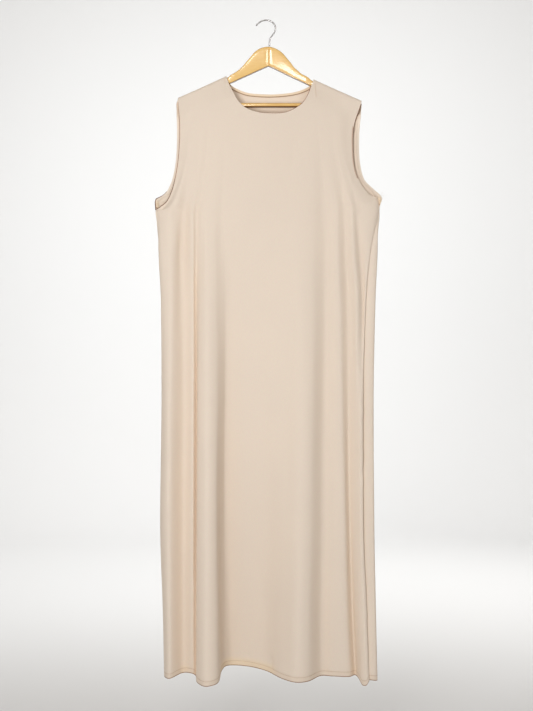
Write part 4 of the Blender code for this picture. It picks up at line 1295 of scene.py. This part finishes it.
def makeHook(finish):
    route = flowingLine([(across, 0.0, up) for across, up in wire["route"]], [8] * (len(wire["route"]) - 1))
    mesh = bmesh.new()
    rings = tubeMesh(mesh, route[1:], wire["radius"], 20, closeEnds=False)
    tip = route[1]
    run = route[0] - route[1]
    run /= np.linalg.norm(run)
    filed = [rings[0]]                           # the wire's free end is filed round
    for angle in wire["tipAngles"]:
        radius = wire["radius"] * math.cos(math.radians(angle))
        reach = wire["radius"] * math.sin(math.radians(angle)) * wire["tipLength"]
        ring = []
        for vert in rings[0]:
            spoke = np.array(vert.co) / mm - tip
            spoke /= np.linalg.norm(spoke)
            ring.append(mesh.verts.new((tip + spoke * radius + run * reach) * mm))
        filed.append(ring)
    joinRings(mesh, filed)
    mesh.faces.new(filed[-1])
    mesh.faces.new(rings[-1])
    bmesh.ops.recalc_face_normals(mesh, faces=mesh.faces)
    return pieceFrom("hookWire", mesh, finish, 60)


def makeWoodFinish(name):
    made, nodes, links, shader = finishNodes(name, wood["roughness"])
    shader.inputs["Coat Weight"].default_value = wood["lacquer"]
    shader.inputs["Coat Roughness"].default_value = wood["lacquerRoughness"]
    shader.inputs["Specular IOR Level"].default_value = 0.5
    spot = addNode(nodes, "ShaderNodeTexCoord").outputs["Object"]
    alongGrain = stretched(nodes, links, spot, wood["grain"])
    grain = noiseOf(nodes, links, alongGrain, wood["grainScale"], detail=6.0, roughness=0.62,
                    distortion=0.25).outputs["Fac"]
    fine = noiseOf(nodes, links, alongGrain, wood["fineScale"], detail=3.0, roughness=0.6).outputs["Fac"]
    broad = noiseOf(nodes, links, spot, wood["broadScale"], detail=2.0).outputs["Fac"]
    grainShare, fineShare, broadShare = wood["figure"]
    figure = calculate(nodes, links, "MULTIPLY", grain, grainShare)
    figure = calculate(nodes, links, "MULTIPLY_ADD", fine, fineShare, figure)
    figure = calculate(nodes, links, "MULTIPLY_ADD", broad, broadShare, figure)
    tone = colourRamp(nodes, links, figure, wood["tones"])
    facing = addNode(nodes, "ShaderNodeNewGeometry").outputs["True Normal"]
    upward = xyzPart(nodes, links, facing, "Z")
    # painted shade on the faces that turn down; the faces that turn up are darker and more orange
    for part in ("rim", "under"):
        start, full, most = wood[part + "Facing"]
        share = shareBetween(nodes, links, upward, start, full, most=most)
        tone = mixColours(nodes, links, tone, wood[part], share)
    links.new(tone, shader.inputs["Base Color"])
    addBump(nodes, links, shader, fine, wood["bumpStrength"], wood["bumpHeight"])
    return made


def makeSteelFinish(name):
    made, nodes, links, shader = finishNodes(name, wire["roughness"])
    shader.inputs["Metallic"].default_value = 1.0
    spot = addNode(nodes, "ShaderNodeTexCoord").outputs["Object"]
    drawn = noiseOf(nodes, links, spot, wire["drawnScale"], detail=2.0).outputs["Fac"]
    dark, light = [tuple(value * factor for value in wire["colour"]) for factor in wire["colourRange"]]
    blend = mixColours(nodes, links, dark, light, drawn)
    links.new(blend, shader.inputs["Base Color"])
    uneven = shareBetween(nodes, links, drawn, 0.0, 1.0, *wire["roughnessRange"])
    links.new(uneven, shader.inputs["Roughness"])
    return made


lacquerFinish = makeWoodFinish("honeyLacqueredWood")
steelFinish = makeSteelFinish("brightSteelWire")
hangerArms = makeWood(lacquerFinish)
trouserBar = makeBar(lacquerFinish)
hookWire = makeHook(steelFinish)
print("hanger made")


# What each piece stands for

standsFor = (
    (frontPanel, ("front_panel_upper", "front_panel_middle", "front_panel_lower"), "beige_crepe"),
    (backPanel, ("back_panel_upper", "back_panel_middle", "back_panel_lower"), "beige_crepe"),
    (turned["frontHemTurn"], "hem_turn_front", "beige_crepe_facing"),
    (turned["backHemTurn"], "hem_turn_back", "beige_crepe_facing"),
    (turned["frontNeckTurn"], "neck_facing_front", "beige_crepe_facing"),
    (turned["backNeckTurn"], "neck_facing_back", "beige_crepe_facing"),
    (turned["frontLeftArmholeTurn"], "armhole_facing_front_left", "beige_crepe_facing"),
    (turned["frontRightArmholeTurn"], "armhole_facing_front_right", "beige_crepe_facing"),
    (turned["backLeftArmholeTurn"], "armhole_facing_back_left", "beige_crepe_facing"),
    (turned["backRightArmholeTurn"], "armhole_facing_back_right", "beige_crepe_facing"),
    (hangerArms, "hanger_wood", "honey_lacquered_wood"),
    (trouserBar, "hanger_bar", "honey_lacquered_wood"),
    (hookWire, "hook", "bright_steel"),
)
for piece, solids, slotName in standsFor:
    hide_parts(*(solids if isinstance(solids, tuple) else (solids,)))
    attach(piece, "root")
for piece in sewing["front"] + sewing["back"]:
    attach(piece, "root")

print("pieces declared:", len(standsFor) + len(sewing["front"]) + len(sewing["back"]))


# Stage, light and camera

stage = {
    "floor": -1.80,
    "front": -4.0,
    "back": 4.4,
    "sweep": 1.3,
    "width": 5.0,
    "height": 3.4,
    "colour": (0.86, 0.86, 0.86),
    "near": (0.645, 0.64, 0.635),    # painted shade: the floor is darker under and in front of the garment
    "fadeFrom": 0.4,
    "fadeTo": 4.8,
}
world = {"strength": 0.45, "colour": (1.0, 0.95, 0.885, 1.0)}
lamps = {
    # place, aimed at, width, height, watts, colour
    "key": ((-0.56, -1.80, -0.66), (0.0, 0.0, -0.76), 0.6, 0.6, 18.2, (0.975, 0.985, 1.0)),
    "high": ((-0.20, -1.86, 0.46), (0.0, 0.0, -0.20), 0.26, 0.46, 5.4, (1.0, 0.99, 0.97)),
    "glint": ((0.66, -1.78, 0.46), (0.0, 0.0, -0.10), 0.32, 0.5, 6.5, (1.0, 1.0, 1.0)),
    "wash": ((-0.27, -1.88, 0.47), (0.0, 0.0, -0.12), 0.30, 0.5, 2.2, (1.0, 0.99, 0.98)),
    "fill": ((1.8, -2.6, 0.1), (0.0, 0.0, -0.7), 1.6, 1.8, 7.0, (0.98, 0.99, 1.0)),
    "rear": ((1.3, 2.3, 0.2), (0.0, 0.0, -0.75), 1.2, 1.2, 16.0, (1.0, 0.99, 0.98)),
    "backdrop": ((0.0, 1.2, 0.7), (0.0, 4.4, -0.9), 4.4, 2.4, 94.0, (0.955, 0.98, 1.0)),
}
onlyInLacquer = ("glint", "wash")                 # these lamps show as gloss alone
photoView = {"lens": 52.74, "sensor": 36.0, "place": (0.0012, -2.5, -0.803), "turn": (math.pi / 2, 0.0, 0.0)}


def makeStage():
    # one floor that sweeps up behind the garment
    mesh = bmesh.new()
    sweep = stage["sweep"]
    outline = [(stage["front"], stage["floor"]), (stage["back"] - sweep, stage["floor"])]
    for i in range(1, 17):
        turn = math.pi / 2 * i / 16
        outline.append((stage["back"] - sweep + sweep * math.sin(turn),
                        stage["floor"] + sweep * (1 - math.cos(turn))))
    outline.append((stage["back"], stage["height"]))
    rows = [[mesh.verts.new((x, y, z)) for x in (-stage["width"], stage["width"])] for y, z in outline]
    for first, second in zip(rows, rows[1:]):
        mesh.faces.new((first[0], first[1], second[1], second[0]))
    made, nodes, links, shader = finishNodes("paleStudioFloor", 0.9)
    spot = addNode(nodes, "ShaderNodeTexCoord").outputs["Object"]
    # painted shade: darker near the garment, fading to the backdrop's colour behind it
    share = shareBetween(nodes, links, xyzPart(nodes, links, spot, "Y"), stage["fadeFrom"], stage["fadeTo"],
                         soft=True)
    tone = mixColours(nodes, links, stage["near"], stage["colour"], share)
    links.new(tone, shader.inputs["Base Color"])
    shader.inputs["Specular IOR Level"].default_value = 0.1
    floor = pieceFrom("studioFloor", mesh, made, 60)


def makeLamp(name, place, aim, width, height, watts, colour):
    data = bpy.data.lights.new(name, "AREA")
    data.shape = "RECTANGLE"
    data.size = width
    data.size_y = height
    data.energy = watts
    data.color = colour
    lamp = bpy.data.objects.new(name, data)
    bpy.context.scene.collection.objects.link(lamp)
    lamp.location = place
    run = np.array(aim) - np.array(place)
    lamp.rotation_euler = Vector(run).to_track_quat("-Z", "Y").to_euler()
    lamp.visible_camera = False
    lamp.visible_diffuse = name not in onlyInLacquer


makeStage()
for lampName, values in lamps.items():
    makeLamp(lampName, *values)
surround = bpy.data.worlds.new("studio")
surround.use_nodes = True
surround.node_tree.nodes["Background"].inputs["Color"].default_value = world["colour"]
surround.node_tree.nodes["Background"].inputs["Strength"].default_value = world["strength"]
bpy.context.scene.world = surround
bpy.context.scene.view_settings.view_transform = "Standard"

lens = bpy.data.cameras.new("photoCamera")
lens.lens = photoView["lens"]
lens.sensor_width = photoView["sensor"]
camera = bpy.data.objects.new("photoCamera", lens)
bpy.context.scene.collection.objects.link(camera)
camera.location = photoView["place"]
camera.rotation_euler = photoView["turn"]
bpy.context.scene.camera = camera
print("stage, lights and camera set")
